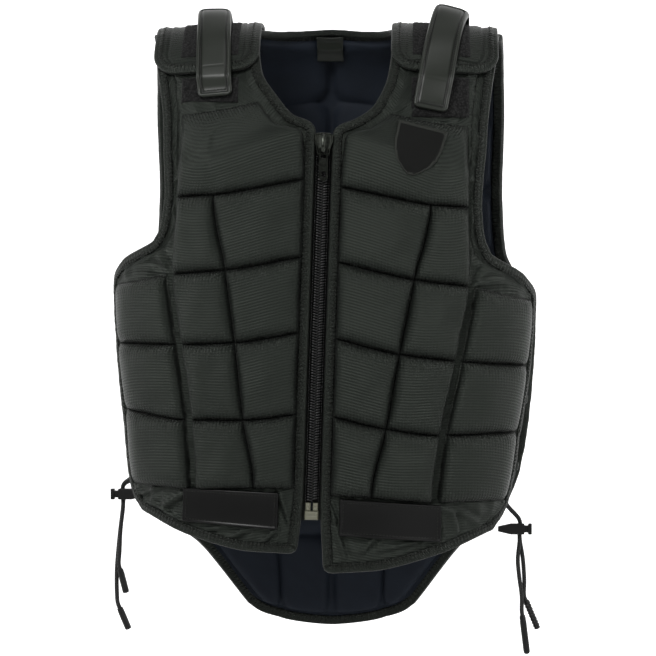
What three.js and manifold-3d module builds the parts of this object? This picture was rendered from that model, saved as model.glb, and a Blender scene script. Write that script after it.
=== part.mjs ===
// An equestrian protective vest in the form it has when worn: two padded front panels joined by a zip, a
// padded back panel with a long tail, shoulder flaps under strap tabs, and laced sides with cord locks.
// Millimetres, +Z up. The front faces -Y, +X is the wearer's left, and the shoulders carry it at the origin.
import * as THREE from "three";
import { mergeVertices } from "three/addons/utils/BufferGeometryUtils.js";
import Module from "manifold-3d";

const wasm = await Module();
wasm.setup();
const vec = (x, y, z) => new THREE.Vector3(x, y, z);

// Driving sizes

const GAP = 0.3; // clearance between pieces that touch on the real vest
const BEND = 0.2; // added to a gap where two faceted bends lie on each other
const SIDES = [
  { name: "right", sign: -1 }, // the wearer's sides, with the sign of their x
  { name: "left", sign: 1 },
];

// The form that the cloth follows: a dome over the shoulders, then sections that taper below the chest
const SHOULDER = { top: 3, slope: 0.05, neckHalf: 66, neckStand: 11, parts: 2, middle: 110 };
const CHEST_Z = -150;
const DOME_ARC = 240; // cloth height that one quarter of the dome takes up
const CREST = Infinity; // stands for a height that stops CREST_SHORT before the line along the shoulder
const CREST_SHORT = 9;
const FACES = {
  front: { name: "front", sign: -1, depth: 104, dome: 2.2, round: 2.4, stand: 0, lean: 0.033 },
  back: { name: "back", sign: 1, depth: 102, dome: 3.2, round: 2.6, stand: SHOULDER.neckStand, lean: 0 },
};
// Below LEAN.from the closed front runs to the wearer's right by its lean, and its sides by less of it
const LEAN = { from: -97, sides: 0.4 };
// From the chest line down, every BODY_STEP: share of each face's depth, and half-width where the faces meet
const BODY_STEP = 80;
const BODY_ROWS = table("front back span", [
  [1.0, 1.0, 201],
  [1.03, 1.0, 196],
  [1.04, 0.94, 191],
  [1.02, 0.92, 181],
  [0.99, 0.97, 170],
  [0.97, 1.04, 163],
]);

// Cloth, pads and edges
const SHELL = { outer: 3, inner: 2.5 }; // cloth and thin foam either side of the middle surface
const PAD = { rise: 7.5, shoulder: 6, wideSeam: 3.5 };
const BINDING = { width: 7.5, half: 3.3, tip: 2.2, clear: 0.5 };
const LINING = { thick: 1.2, edge: 4, lowest: 0.06, highest: 0.2 };

// Panel rows from the lowest edge up. Columns hold x and z. strip is the flat cloth inside the inner edge.
// hang is how far the left front hangs below the mean, and the right one above it. A sewn row is a channel.
const COLUMNS = ["inner", "seam1", "seam2", "outer"];
const FRONT_ROWS = table("name inner seam1 seam2 outer strip hang sewn", [
  ["hem", [19, -479], [57, -477], [116, -463], [158, -442], 1.5, 9, false],
  ["band", [15, -424], [55, -425], [116, -428], [170, -423], 1.5, 5.5, true],
  ["low", [15, -353], [66, -361], [121, -364], [179.5, -358], 1.5, 5.5, true],
  ["waist", [15, -279], [76, -291], [132, -295], [187, -296], 1.5, 6, true],
  ["ribs", [15, -208], [87, -221], [141, -228], [190.5, -239], 1.5, 4.5, true],
  ["wing", [15, -198], [89, -211], [140, -218], [181, -222], 1.5, 5, false],
  ["armpit", [15, -180], [93, -195], [138, -201], [149, -202], 1.5, 5, false],
  ["arm", [15, -162], [97, -177], [136, -180], [140.5, -180], 1.5, 4.5, false],
  ["breast", [15, -136], [100, -155], [134, -157], [138, -154], 1.5, 4.5, true],
  ["zip_top", [15, -95], [100, -128], [133, -132], [139, -130], 5, 2, false],
  ["throat", [33, -85], [100, -108], [132, -112], [140.5, -110], 10, 2, false],
  ["collar", [49.5, -69.5], [99, -79.5], [132, -83], [141.5, -82.5], 11, 5.5, true],
  ["neck", [64.5, -42], [100, -46], [133, -50], [145, -52], 8, 2, false],
  ["slope", [68, -16], [101, -19], [134, -23], [149, -26], 6, 0, false],
  ["crest", [69, CREST], [102, CREST], [135, CREST], [152, CREST], 6, 0, false],
]);
const FRONT_PADS = table("from to spans", [
  ["band", "low", ["A", "B", "C"]],
  ["low", "waist", ["A", "B", "C"]],
  ["waist", "ribs", ["A", "B", "C"]],
  ["ribs", "breast", ["A", "B"]],
  ["breast", "collar", ["AB"]],
]);
// Half of the back panel. cup is how late a row turns up on its way from the middle to seam1, where the
// column line at BACK_TURN gives its round edge a corner more.
const BACK_TURN = 0.62;
const BACK_ROWS = table("name inner seam1 seam2 outer cup sewn", [
  ["tail", [0, -546], [48, -539], [64, -534], [74, -527], 1.6, true],
  ["seat", [0, -467], [52, -466], [112, -466], [121, -468], 1, true],
  ["flank", [0, -437], [56, -436], [115, -437], [153, -443], 1, false],
  ["hip", [0, -385], [61, -385], [119, -388], [175.5, -394], 1, true],
  ["waist", [0, -303], [65, -304], [124, -308], [185.5, -315], 1, true],
  ["wing", [0, -240], [67, -242], [126, -245], [188.5, -245], 1, false],
  ["armpit", [0, -221], [68, -223], [126, -226], [165, -218], 1, false],
  ["blade", [0, -209], [68, -212], [125, -214], [158, -200], 1, true],
  ["upper", [0, -132], [69, -137], [124, -143], [154.5, -142], 1, true],
  ["nape", [0, -56], [69, -61], [124, -68], [156.5, -75], 1.3, true],
  ["yoke", [0, -17], [69, -20], [120, -28], [156, -34], 2, false],
  ["crest", [0, 4.5], [69, CREST], [114, CREST], [155, CREST], 3, false],
]);
const BACK_PADS = table("from to spans", [
  ["tail", "seat", ["A", "B"]],
  ["seat", "hip", ["A", "B"]],
  ["hip", "waist", ["A", "B", "C"]],
  ["waist", "blade", ["A", "B", "C"]],
  ["blade", "upper", ["A", "B", "C"]],
  ["upper", "nape", ["A", "B", "C"]],
]);

// Shoulder flap, the hook-and-loop patch on it, and the strap tab over both
const FLAP = { inner: 64.5, outer: 152.5, back: 34, front: -66, lift: 6.2, half: 2, round: 18, rim: 4.6 };
const PATCH = { inner: 79, outer: 131, thick: 1.2, back: 18, front: -63.5 };
const STRAP = { width: 31, half: 1.5, welt: 4, weltRise: 0.8, back: 30, arch: 13, archReach: 24 };
// Strap middle at the shoulder and at its end, height of that end, and of the front patch's lower edge
const STRAP_LAY = {
  right: { top: 104.5, end: 104, endZ: -62.5, patchZ: -66 },
  left: { top: 115, end: 95, endZ: -74.5, patchZ: -80 },
};
const FRONT_PATCH_TOP = -46;

// Zip down the front: chain, tapes behind it, slider, pull and bottom box
const ZIP = { top: -97, bottom: -430, chainHalf: 5, chainOut: 2.9, chainIn: 3.2, parts: 16 };
const TAPE = { inner: 0.5, outer: 20, thick: 1, bottom: -447 };
const SLIDER = { z: -105, topHalf: 9, endHalf: 6.5, high: 21, plate: 2, shoulder: 7, corner: 2.5, boss: 3 };
const BAIL = { half: 2, leg: 1.6, inside: 4, out: 5.6, top: 8.5, bottom: -8.5, sink: 0.3, slant: 2 };
const PULL = { width: 8.2, thick: 1.5, long: 31, corner: 3, out: 8, drop: -4.4 };
const PULL_HOLES = { bar: { half: 2.6, long: 8.5 }, grip: { half: 2, low: 3.6, high: 9 } };
const ZIP_BOX = { half: 6.3, top: -431, bottom: -446, out: 3.9, inn: 3.2 };

// Bare patches sewn on: hem labels, chest badge and neck tag
const LABEL = { thick: 1.6 };
const LABEL_LAY = {
  right: { ends: [34, 118], tops: [-425, -423], bottoms: [-457, -450] }, // at the inner and the outer end
  left: { ends: [25, 114], tops: [-431.5, -437.5], bottoms: [-463, -469] },
};
const BADGE = { x: 83, z: -112, half: 22, high: 44, tilt: -0.24, thick: 1.4 };
const NECK_TAG = { half: 13.5, top: -1, bottom: -18, thick: 1 };

// Side lacing: loops on both side edges, one lace each side, and the lock that both of its ends pass through
const LACE = { radius: 2, sides: 8, steps: 38, cross: 2.6, through: 8, straight: 3 };
const LOOP = { hole: 4, band: 1.3, half: 4, corners: 6, tuck: 4, heights: [-396, -338, -282] };
const LOCK = { y: -10, half: 7.2, high: 5, mouth: 4.5, end: -8, tip: -20, tipHigh: 2.2, wall: 1.2 };
const LOCK_PLAY = 0.5; // room left behind the plunger and under its head when it is pressed right in
const PLUNGER = { half: 5.5, high: 3.2, travel: 3, head: 3.4, slot: 2.7, slotHalf: 4.5 };
// turns: places, across and up from the lock, where the lace bends behind the hem
const LOCK_AT = { right: { x: -190, z: -426, turns: [] }, left: { x: 178, z: -458, turns: [[-13, 25]] } };
const STRAND_APART = 2.15; // the two ends lie this far either side of the lock's middle
const TIP = { radius: 3, sides: 10, straight: 6 }; // straight: cord in line with the tip
// Free ends below each lock: places on the way down, then the far end of the moulded tip
const ENDS = {
  right: {
    short: {
      y: -1,
      route: [[-190, -437], [-192.5, -460], [-193.4, -480], [-192.5, -497]],
      tip: [-187, -518],
    },
    long: {
      y: 1,
      route: [[-190.4, -437], [-194, -469], [-196.2, -497], [-196, -520], [-193, -533]],
      tip: [-185, -552],
    },
  },
  left: {
    long: {
      y: -1,
      route: [[178, -469], [176.4, -486], [177.8, -503], [180, -520], [180.8, -540]],
      tip: [185, -574],
    },
    short: {
      y: 1,
      route: [[178.4, -469], [181, -485], [182.4, -506], [184.6, -526]],
      tip: [195, -551],
    },
  },
};

// Small helpers

function table(columns, rows) {
  const names = columns.split(" ");
  return rows.map((row) => Object.fromEntries(names.map((name, k) => [name, row[k]])));
}
function clamp(value, low, high) {
  return Math.min(high, Math.max(low, value));
}
function ease(t) {
  const s = clamp(t, 0, 1);
  return s * s * (3 - 2 * s);
}
// A smooth curve without overshoot through values given at 0, 1, 2 and so on
function smoothThrough(values) {
  const steps = values.slice(1).map((value, k) => value - values[k]);
  const slope = values.map((_, k) => {
    if (k === 0) return steps[0];
    if (k === steps.length) return steps[k - 1];
    const [a, b] = [steps[k - 1], steps[k]];
    return a * b > 0 ? (2 * a * b) / (a + b) : 0;
  });
  return (t) => {
    const k = clamp(Math.floor(t), 0, steps.length - 1);
    const s = t - k;
    const bend = 3 * steps[k] - 2 * slope[k] - slope[k + 1];
    return values[k] + s * (slope[k] + s * (bend + s * (slope[k] + slope[k + 1] - 2 * steps[k])));
  };
}

// The form that the cloth follows

const body = Object.fromEntries(
  ["front", "back", "span"].map((key) => [key, smoothThrough(BODY_ROWS.map((row) => row[key]))]),
);
// Height of the dome at x, above the chest line
function domeHeight(face, x) {
  const away = Math.abs(x) - SHOULDER.neckHalf;
  const stand = face.stand * ease(-away / SHOULDER.neckHalf);
  return SHOULDER.top + stand - SHOULDER.slope * Math.max(0, away) - CHEST_Z;
}
// How far the section at a body row still stands forward at x, from 1 in the middle to 0 at the side
function bulge(face, x, row) {
  return (1 - Math.min(1, Math.abs(x) / body.span(row)) ** face.round) ** (1 / face.round);
}
// Middle surface at x and cloth height h, which is z up to the chest line and an angle over the dome above it
function surface(face, x, h) {
  const row = Math.max(0, (CHEST_Z - h) / BODY_STEP);
  const rise = Math.sin((clamp((h - CHEST_Z) / DOME_ARC, 0, 1) * Math.PI) / 2);
  const lean = (1 - rise ** face.dome) ** (1 / face.dome);
  const y = face.sign * face.depth * body[face.name](row) * bulge(face, x, row) * lean;
  return vec(x + leanAt(face, x, h), y, Math.min(h, CHEST_Z) + domeHeight(face, x) * rise);
}
function leanAt(face, x, h) {
  const share = 1 - (1 - LEAN.sides) * Math.min(1, Math.abs(x) / body.span(0)) ** 3;
  return face.lean * Math.min(0, h - LEAN.from) * share;
}
// Cloth height of a place given by x and z
function clothHeight(face, x, z) {
  if (z <= CHEST_Z) return z;
  const short = CREST_SHORT / (face.depth * bulge(face, x, 0));
  const atCrest = (1 - short ** face.dome) ** (1 / face.dome);
  const rise = z === CREST ? atCrest : clamp((z - CHEST_Z) / domeHeight(face, x), 0, 1);
  return CHEST_Z + (DOME_ARC * Math.asin(rise) * 2) / Math.PI;
}
// Turns a normal so that it points away from the wearer
function outward(normal, point) {
  const away = vec(point.x, point.y, point.z - Math.min(point.z, -120));
  return normal.dot(away) < 0 ? normal.negate() : normal;
}
function normalFrom(a, b, c, d, point) {
  return outward(b.sub(a).cross(d.sub(c)).normalize(), point);
}

// A panel's cloth: column c runs from 0 at the inner edge to 3 at the outer, row r from 0 at the lowest edge.
// A panel that crosses the middle has c below 0 on the wearer's right.
class Cloth {
  constructor(face, rows, pads, side = 1, whole = false) {
    const hang = (row) => side * (row.hang ?? 0);
    Object.assign(this, { face, rows, side, whole, top: rows.length - 1 });
    this.columns = COLUMNS.map((name) => ({
      x: smoothThrough(rows.map((row) => row[name][0])),
      h: smoothThrough(rows.map((row) => clothHeight(face, row[name][0], row[name][1] - hang(row)))),
    }));
    this.strip = smoothThrough(rows.map((row) => row.strip ?? 0));
    this.cup = smoothThrough(rows.map((row) => row.cup ?? 1));
    const indexOf = (name) => rows.findIndex((row) => row.name === name);
    this.pads = pads.map((pad) => ({ ...pad, low: indexOf(pad.from), high: indexOf(pad.to) }));
    this.shoulderRow = this.pads.at(-1).high;
  }
  // Distance from the middle of the closed front, or of the back
  halfWidth(c, r) {
    return smoothThrough(this.columns.map((column) => column.x(r)))(Math.abs(c));
  }
  point(c, r) {
    const across = Math.abs(c);
    const h = this.columns.map((column) => column.h(r));
    const cupped = this.whole && across < 1;
    const height = cupped ? h[0] + (h[1] - h[0]) * across ** this.cup(r) : smoothThrough(h)(across);
    return surface(this.face, Math.sign(c || 1) * this.side * this.halfWidth(c, r), height);
  }
  normal(c, r) {
    const d = 0.02;
    const lowest = this.whole ? -3 : 0;
    const [c0, c1] = [clamp(c - d, lowest, 3), clamp(c + d, lowest, 3)];
    const [r0, r1] = [clamp(r - d, 0, this.top), clamp(r + d, 0, this.top)];
    const ends = [this.point(c0, r), this.point(c1, r), this.point(c, r0), this.point(c, r1)];
    return normalFrom(...ends, this.point(c, r));
  }
  place(c, r) {
    return { p: this.point(c, r), n: this.normal(c, r), c, r };
  }
  // Length of cloth between two columns of a row, and the share of it that a width takes up
  wide(k, r) {
    return this.point(k, r).distanceTo(this.point(k + 1, r));
  }
  share(width, k, r, most = 0.3) {
    return Math.min(width / this.wide(k, r), most);
  }
  // Where the pads of a row begin and end
  spans(r) {
    const wideSeam = this.whole ? 0 : PAD.wideSeam;
    const a0 = this.share(this.strip(r), 0, r);
    const b1 = 2 - this.share(wideSeam, 1, r, 0.2);
    const c0 = 2 + this.share(wideSeam, 2, r, 0.12);
    return { A: [a0, 1], B: [1, b1], C: [c0, 3], AB: [a0, b1] };
  }
  // How far a pad lifts the cloth, from 0 on a seam to 1 on top of the pad
  lift(c, r) {
    const across = Math.abs(c);
    const pad = this.pads.find(({ low, high }) => r > low && r < high);
    const spans = this.spans(r);
    const span = pad?.spans.map((name) => spans[name]).find(([c0, c1]) => across > c0 && across < c1);
    if (!span) return 0;
    const here = this.point(across, r);
    const ends = [pad.low, pad.high].map((row) => this.point(across, row));
    const edges = [...span.map((column) => this.point(column, r)), ...ends];
    return ease(Math.min(...edges.map((edge) => edge.distanceTo(here))) / PAD.shoulder);
  }
  // Column lines of the solid along one row, and its row lines
  columnLines(r) {
    const { A, B, C } = this.spans(r);
    const s = [0, 1, 2].map((k) => this.share(PAD.shoulder, k, r));
    const half = [1, 1 + s[1], B[1] - s[1], B[1]];
    const outer = [C[0], C[0] + s[2], 2.5, 3 - s[2], 3];
    if (!this.whole) return [0, A[0], A[0] + s[0], 1 - s[0], ...half, ...outer];
    const right = [s[0], BACK_TURN, 1 - s[0], ...half, 2.5, 3];
    return [...right.map((c) => -c).reverse(), 0, ...right];
  }
  rowLines() {
    const lines = this.rows.flatMap((_, k) => {
      const gap = (to) => this.point(1, k).distanceTo(this.point(1, to));
      const ends = this.pads.some((pad) => pad.high === k);
      const starts = this.pads.some((pad) => pad.low === k);
      const before = ends ? [k - Math.min(PAD.shoulder / gap(k - 1), 0.35)] : [];
      const after = starts ? [k + Math.min(PAD.shoulder / gap(k + 1), 0.35)] : [];
      const parts = this.isShoulder(k) ? SHOULDER.parts : 1;
      return [...before, ...spread(k, k + 1, parts).slice(0, -1), ...after];
    });
    return lines.sort((a, b) => a - b);
  }
  // Whether the cloth bends over the shoulder above row k
  isShoulder(k) {
    return k >= this.shoulderRow && k < this.top;
  }
  grid() {
    return this.rowLines().map((r) => this.columnLines(r).map((c) => this.place(c, r)));
  }
}

// Solids

// A closed body from vertices and triangles, turned to face out
function solid(vertices, triangles) {
  const geometry = new THREE.BufferGeometry().setFromPoints(vertices);
  let volume = 0;
  for (let k = 0; k < triangles.length; k += 3) {
    const [a, b, c] = [0, 1, 2].map((i) => vertices[triangles[k + i]]);
    volume += a.dot(b.clone().cross(c));
  }
  geometry.setIndex(volume < 0 ? [...triangles].reverse() : triangles);
  geometry.computeVertexNormals();
  return geometry;
}
// Wall between two offsets of a grid of places, each a point with its outward normal
function wall(grid, outer, inner) {
  const [rows, columns] = [grid.length, grid[0].length];
  const offset = (by) => grid.flat().map((at) => at.p.clone().addScaledVector(at.n, by(at)));
  const vertices = [...offset(outer), ...offset((at) => -inner(at))];
  const id = (i, j, face) => face * rows * columns + j * columns + i;
  const triangles = [];
  const quad = (a, b, c, d) => triangles.push(a, b, c, a, c, d);
  for (let j = 0; j + 1 < rows; j++) {
    for (let i = 0; i + 1 < columns; i++) {
      quad(id(i, j, 0), id(i + 1, j, 0), id(i + 1, j + 1, 0), id(i, j + 1, 0));
      quad(id(i, j + 1, 1), id(i + 1, j + 1, 1), id(i + 1, j, 1), id(i, j, 1));
    }
  }
  const rim = border(rows, columns);
  rim.forEach(([i, j], k) => {
    const [m, n] = rim[(k + 1) % rim.length];
    quad(id(m, n, 0), id(i, j, 0), id(i, j, 1), id(m, n, 1));
  });
  return solid(vertices, triangles);
}
// Grid indices once round the edge
function border(rows, columns) {
  const rim = [];
  for (let i = 0; i < columns - 1; i++) rim.push([i, 0]);
  for (let j = 0; j < rows - 1; j++) rim.push([columns - 1, j]);
  for (let i = columns - 1; i > 0; i--) rim.push([i, rows - 1]);
  for (let j = rows - 1; j > 0; j--) rim.push([0, j]);
  return rim;
}
// Places once round the edge of a grid, each with the direction that leaves the cloth there
function edgeLoop(grid) {
  const loop = border(grid.length, grid[0].length).map(([i, j]) => grid[j][i]);
  const out = loop.map(({ p, n }, k) => {
    const before = p.clone().sub(loop.at(k - 1).p).normalize();
    const after = loop[(k + 1) % loop.length].p.clone().sub(p).normalize();
    const away = [before, after].map((along) => along.cross(n).normalize());
    const mean = away[0].clone().add(away[1]).normalize();
    return mean.divideScalar(Math.max(0.7, mean.dot(away[0])));
  });
  const middle = loop.reduce((sum, at) => sum.add(at.p), vec(0, 0, 0)).divideScalar(loop.length);
  const facing = loop.reduce((sum, at, k) => sum + out[k].dot(at.p.clone().sub(middle)), 0);
  return loop.map((at, k) => ({ ...at, out: out[k].multiplyScalar(Math.sign(facing)) }));
}
// Band of one section, given along out and n, carried once round a closed loop
function ring(loop, section) {
  const vertices = loop.flatMap(({ p, n, out }) =>
    section.map(([a, b]) => p.clone().addScaledVector(out, a).addScaledVector(n, b)),
  );
  const triangles = [];
  const many = section.length;
  loop.forEach((_, k) => {
    const next = (k + 1) % loop.length;
    for (let s = 0; s < many; s++) {
      const t = (s + 1) % many;
      const [a, b, c, d] = [k * many + s, next * many + s, next * many + t, k * many + t];
      triangles.push(a, b, c, a, c, d);
    }
  });
  return solid(vertices, triangles);
}
function bindingOf(grid, { width, half, tip, clear }) {
  return ring(edgeLoop(grid), [[clear, -half], [clear, half], [width, tip], [width, -tip]]);
}
// Round cord through a list of places
function cordThrough(places, steps, radius = LACE.radius, sides = LACE.sides) {
  const section = new THREE.Shape();
  for (let k = 0; k < sides; k++) {
    const turn = (2 * Math.PI * k) / sides;
    section[k ? "lineTo" : "moveTo"](radius * Math.cos(turn), radius * Math.sin(turn));
  }
  section.closePath();
  const extrudePath = new THREE.CatmullRomCurve3(places, false, "centripetal");
  return new THREE.ExtrudeGeometry(section, { steps, curveSegments: 1, bevelEnabled: false, extrudePath });
}
// Flat shape in x and z, given thickness along y from y0 to y1
function slab(points, y0, y1, holes = []) {
  const trace = (list) => list.map(([x, z]) => new THREE.Vector2(x, z));
  const shape = new THREE.Shape(trace(points));
  shape.holes = holes.map((hole) => new THREE.Path(trace(hole)));
  const options = { depth: y1 - y0, bevelEnabled: false, curveSegments: 1 };
  return new THREE.ExtrudeGeometry(shape, options).rotateX(Math.PI / 2).translate(0, y1, 0);
}
function box(x0, x1, y0, y1, z0, z1) {
  const geometry = new THREE.BoxGeometry(x1 - x0, y1 - y0, z1 - z0);
  return geometry.translate((x0 + x1) / 2, (y0 + y1) / 2, (z0 + z1) / 2);
}
function toManifold(geometry) {
  const bare = new THREE.BufferGeometry();
  bare.setAttribute("position", geometry.getAttribute("position"));
  bare.setIndex(geometry.index);
  const merged = mergeVertices(bare, 1e-4);
  const vertProperties = merged.getAttribute("position").array;
  const triVerts = new Uint32Array(merged.index.array);
  return new wasm.Manifold(new wasm.Mesh({ numProp: 3, vertProperties, triVerts }));
}
function fromManifold(made) {
  const { vertProperties, triVerts } = made.getMesh();
  const geometry = new THREE.BufferGeometry();
  geometry.setAttribute("position", new THREE.Float32BufferAttribute([...vertProperties], 3));
  return geometry.setIndex([...triVerts]);
}
function join(first, ...others) {
  return fromManifold(others.reduce((sum, other) => sum.add(toManifold(other)), toManifold(first)));
}
function cut(first, ...others) {
  return fromManifold(others.reduce((sum, other) => sum.subtract(toManifold(other)), toManifold(first)));
}

// Materials and the group

const vest = new THREE.Group();
const FINISHES = {
  nylon: { color: 0x202322, roughness: 0.75 },
  lining: { color: 0x151a2a, roughness: 0.85 },
  tape: { color: 0x141515, roughness: 0.8 },
  fuzz: { color: 0x0e0f0f, roughness: 1 },
  rubber: { color: 0x1b1c1d, roughness: 0.45 },
  metal: { color: 0x8b8f92, roughness: 0.35, metalness: 0.9 },
  plastic: { color: 0x111213, roughness: 0.4 },
  coil: { color: 0x1c1e1f, roughness: 0.5 },
  cord: { color: 0x17181a, roughness: 0.8 },
};
const materials = Object.fromEntries(
  Object.entries(FINISHES).map(([name, look]) => [name, new THREE.MeshStandardMaterial(look)]),
);
function add(name, geometry, finish) {
  const mesh = new THREE.Mesh(geometry, materials[finish]);
  mesh.name = name;
  vest.add(mesh);
  return mesh;
}

// Panels, bindings and lining

const panels = {};
for (const { name, sign } of SIDES) {
  const cloth = new Cloth(FACES.front, FRONT_ROWS, FRONT_PADS, sign);
  const grid = cloth.grid();
  const padded = wall(grid, ({ c, r }) => SHELL.outer + PAD.rise * cloth.lift(c, r), () => SHELL.inner);
  panels[name] = { cloth, grid, mesh: add(`front_panel_${name}`, padded, "nylon") };
  add(`front_binding_${name}`, bindingOf(grid, BINDING), "tape");
}
const backCloth = new Cloth(FACES.back, BACK_ROWS, BACK_PADS, 1, true);
const backGrid = backCloth.grid();
const backLift = ({ c, r }) => SHELL.outer + PAD.rise * backCloth.lift(c, r);
const backMesh = add("back_panel", wall(backGrid, backLift, () => SHELL.inner), "nylon");
add("back_binding", bindingOf(backGrid, BINDING), "tape");
// Shoulders: the surface over the top at x, where reach is the y that it has at the middle of the shoulder
function overShoulder(x, reach) {
  const face = reach < 0 ? FACES.front : FACES.back;
  const share = Math.min(1, Math.abs(reach) / (face.depth * bulge(face, SHOULDER.middle, 0)));
  const rise = (1 - share ** face.dome) ** (1 / face.dome);
  return vec(x, face.sign * share * face.depth * bulge(face, x, 0), CHEST_Z + domeHeight(face, x) * rise);
}
function shoulderPlace(x, reach) {
  const d = 0.6;
  const across = [overShoulder(x - d, reach), overShoulder(x + d, reach)];
  const p = overShoulder(x, reach);
  return { p, n: normalFrom(...across, overShoulder(x, reach - d), overShoulder(x, reach + d), p) };
}
// Place on a face at x and z
function placeAt(face, x, z) {
  const d = 0.5;
  const h = clothHeight(face, x, z);
  const across = [surface(face, x - d, h), surface(face, x + d, h)];
  const p = surface(face, x, h);
  return { p, n: normalFrom(...across, surface(face, x, h - d), surface(face, x, h + d), p) };
}
// Values of reach that divide the way over the shoulder evenly, with the length that is left after each
function evenOver(from, to, parts) {
  const fine = spread(from, to, 240).map((reach) => ({ reach, p: overShoulder(SHOULDER.middle, reach) }));
  const along = [0];
  for (let k = 1; k < fine.length; k++) along.push(along[k - 1] + fine[k].p.distanceTo(fine[k - 1].p));
  const total = along.at(-1);
  return spread(0, 1, parts).map((t) => {
    const k = along.findIndex((value) => value >= total * t - 1e-9);
    return { reach: fine[k].reach, left: total - along[k], t };
  });
}
function spread(from, to, parts) {
  return Array.from({ length: parts + 1 }, (_, k) => from + ((to - from) * k) / parts);
}
for (const { name, sign } of SIDES) {
  const stops = evenOver(FLAP.back, FLAP.front, 8);
  const corner = evenOver(stops.at(-2).reach, FLAP.front, 4).slice(2);
  const flap = [...stops.slice(0, -1), ...corner].map(({ reach, left }) => {
    const into = Math.max(0, FLAP.round - left);
    const inset = FLAP.round - Math.sqrt(FLAP.round ** 2 - into ** 2);
    return spread(FLAP.inner + inset, FLAP.outer - inset, 4).map((x) => {
      const { p, n } = shoulderPlace(sign * x, reach);
      return { p: p.addScaledVector(n, FLAP.lift), n };
    });
  });
  add(`shoulder_flap_${name}`, wall(flap, () => FLAP.half, () => FLAP.half), "nylon");
  const rim = { width: FLAP.rim, half: FLAP.half + 0.5, tip: FLAP.half - 0.4, clear: GAP };
  add(`flap_binding_${name}`, bindingOf(flap, rim), "tape");

  const patchBase = FLAP.lift + FLAP.half + GAP + BEND;
  const patch = evenOver(PATCH.back, PATCH.front, 6).map(({ reach }) =>
    spread(PATCH.inner, PATCH.outer, 3).map((x) => shoulderPlace(sign * x, reach)),
  );
  add(`flap_patch_${name}`, wall(patch, () => patchBase + PATCH.thick, () => -patchBase), "fuzz");
}

// Pieces laid on another: each place is dropped along its normal, then lifted clear of the ridges around it

const caster = new THREE.Raycaster();
function drop(onto, { p, n }) {
  caster.set(p.clone().addScaledVector(n, 60), n.clone().negate());
  const [hit] = caster.intersectObject(onto);
  return hit ? hit.point : p.clone().addScaledVector(n, SHELL.inner);
}
function layOn(onto, grid, thick) {
  onto.updateMatrixWorld(true);
  const laid = grid.map((row) => row.map((place) => ({ p: drop(onto, place), n: place.n, lift: GAP })));
  const steps = spread(0, 1, 6).flatMap((u) => spread(0, 1, 6).map((v) => [u, v]));
  for (let j = 0; j + 1 < laid.length; j++) {
    for (let i = 0; i + 1 < laid[0].length; i++) {
      const [a, b, c, d] = [laid[j][i], laid[j][i + 1], laid[j + 1][i + 1], laid[j + 1][i]];
      const ridges = steps.map(([u, v]) => {
        const p = u > v ? corner(a, b, c, u - v, v) : corner(a, d, c, v - u, u);
        return drop(onto, { p, n: a.n }).sub(p).dot(a.n);
      });
      const highest = Math.max(...ridges);
      const clear = highest > BEND ? GAP + BEND + highest : GAP + highest;
      for (const at of [a, b, c, d]) at.lift = Math.max(at.lift, clear);
    }
  }
  return wall(laid, ({ lift }) => lift + thick, ({ lift }) => -lift);
}
// Point of the triangle a, b, c that lies s of the way to b and t of the way to c
function corner(a, b, c, s, t) {
  const p = a.p.clone().multiplyScalar(1 - s - t);
  return p.addScaledVector(b.p, s).addScaledVector(c.p, t);
}
for (const { name, sign } of SIDES) {
  const { mesh } = panels[name];
  const lay = STRAP_LAY[name];
  const patch = spread(lay.patchZ, FRONT_PATCH_TOP, 2).map((z) =>
    spread(PATCH.inner, PATCH.outer, 3).map((x) => placeAt(FACES.front, sign * x, z)),
  );
  add(`front_patch_${name}`, layOn(mesh, patch, PATCH.thick), "fuzz");

  const { ends, tops, bottoms } = LABEL_LAY[name];
  const label = spread(0, 1, 2).map((v) =>
    spread(0, 1, 8).map((u) => {
      const [x, top, bottom] = [ends, tops, bottoms].map(([a, b]) => a + (b - a) * u);
      return placeAt(FACES.front, sign * x, bottom + (top - bottom) * v);
    }),
  );
  add(`hem_label_${name}`, layOn(mesh, label, LABEL.thick), "rubber");

  // Strap tab: over the flap with slack at the top, then down on to the front patch
  const scale = bulge(FACES.front, SHOULDER.middle, 0) / bulge(FACES.front, lay.end, 0);
  const end = placeAt(FACES.front, sign * lay.end, lay.endZ).p.y * scale;
  const onFlap = FLAP.lift + FLAP.half + PATCH.thick + STRAP.half + 2 * (GAP + BEND);
  const onPatch = SHELL.outer + PATCH.thick + STRAP.half + 2 * GAP + 3 * BEND;
  const flapEnd = FLAP.front - FLAP.rim - 1;
  const strap = evenOver(STRAP.back, end, 14).map(({ reach, t }) => {
    const middle = lay.top + (lay.end - lay.top) * clamp(reach / end, 0, 1);
    const arch = STRAP.arch * Math.exp(-(((reach - 4) / STRAP.archReach) ** 2));
    const lift = onPatch + (onFlap - onPatch) * ease((reach - end - 2) / (flapEnd - end - 2)) + arch;
    const half = STRAP.width / 2;
    return [-half, STRAP.welt - half, half - STRAP.welt, half].map((across, k) => {
      const { p, n } = shoulderPlace(sign * (middle + across), reach);
      const welt = k % 3 === 0 || t === 0 || t === 1 ? STRAP.weltRise : 0;
      return { p: p.addScaledVector(n, lift), n, welt };
    });
  });
  add(`shoulder_strap_${name}`, wall(strap, ({ welt }) => STRAP.half + welt, () => STRAP.half), "rubber");
}

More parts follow.
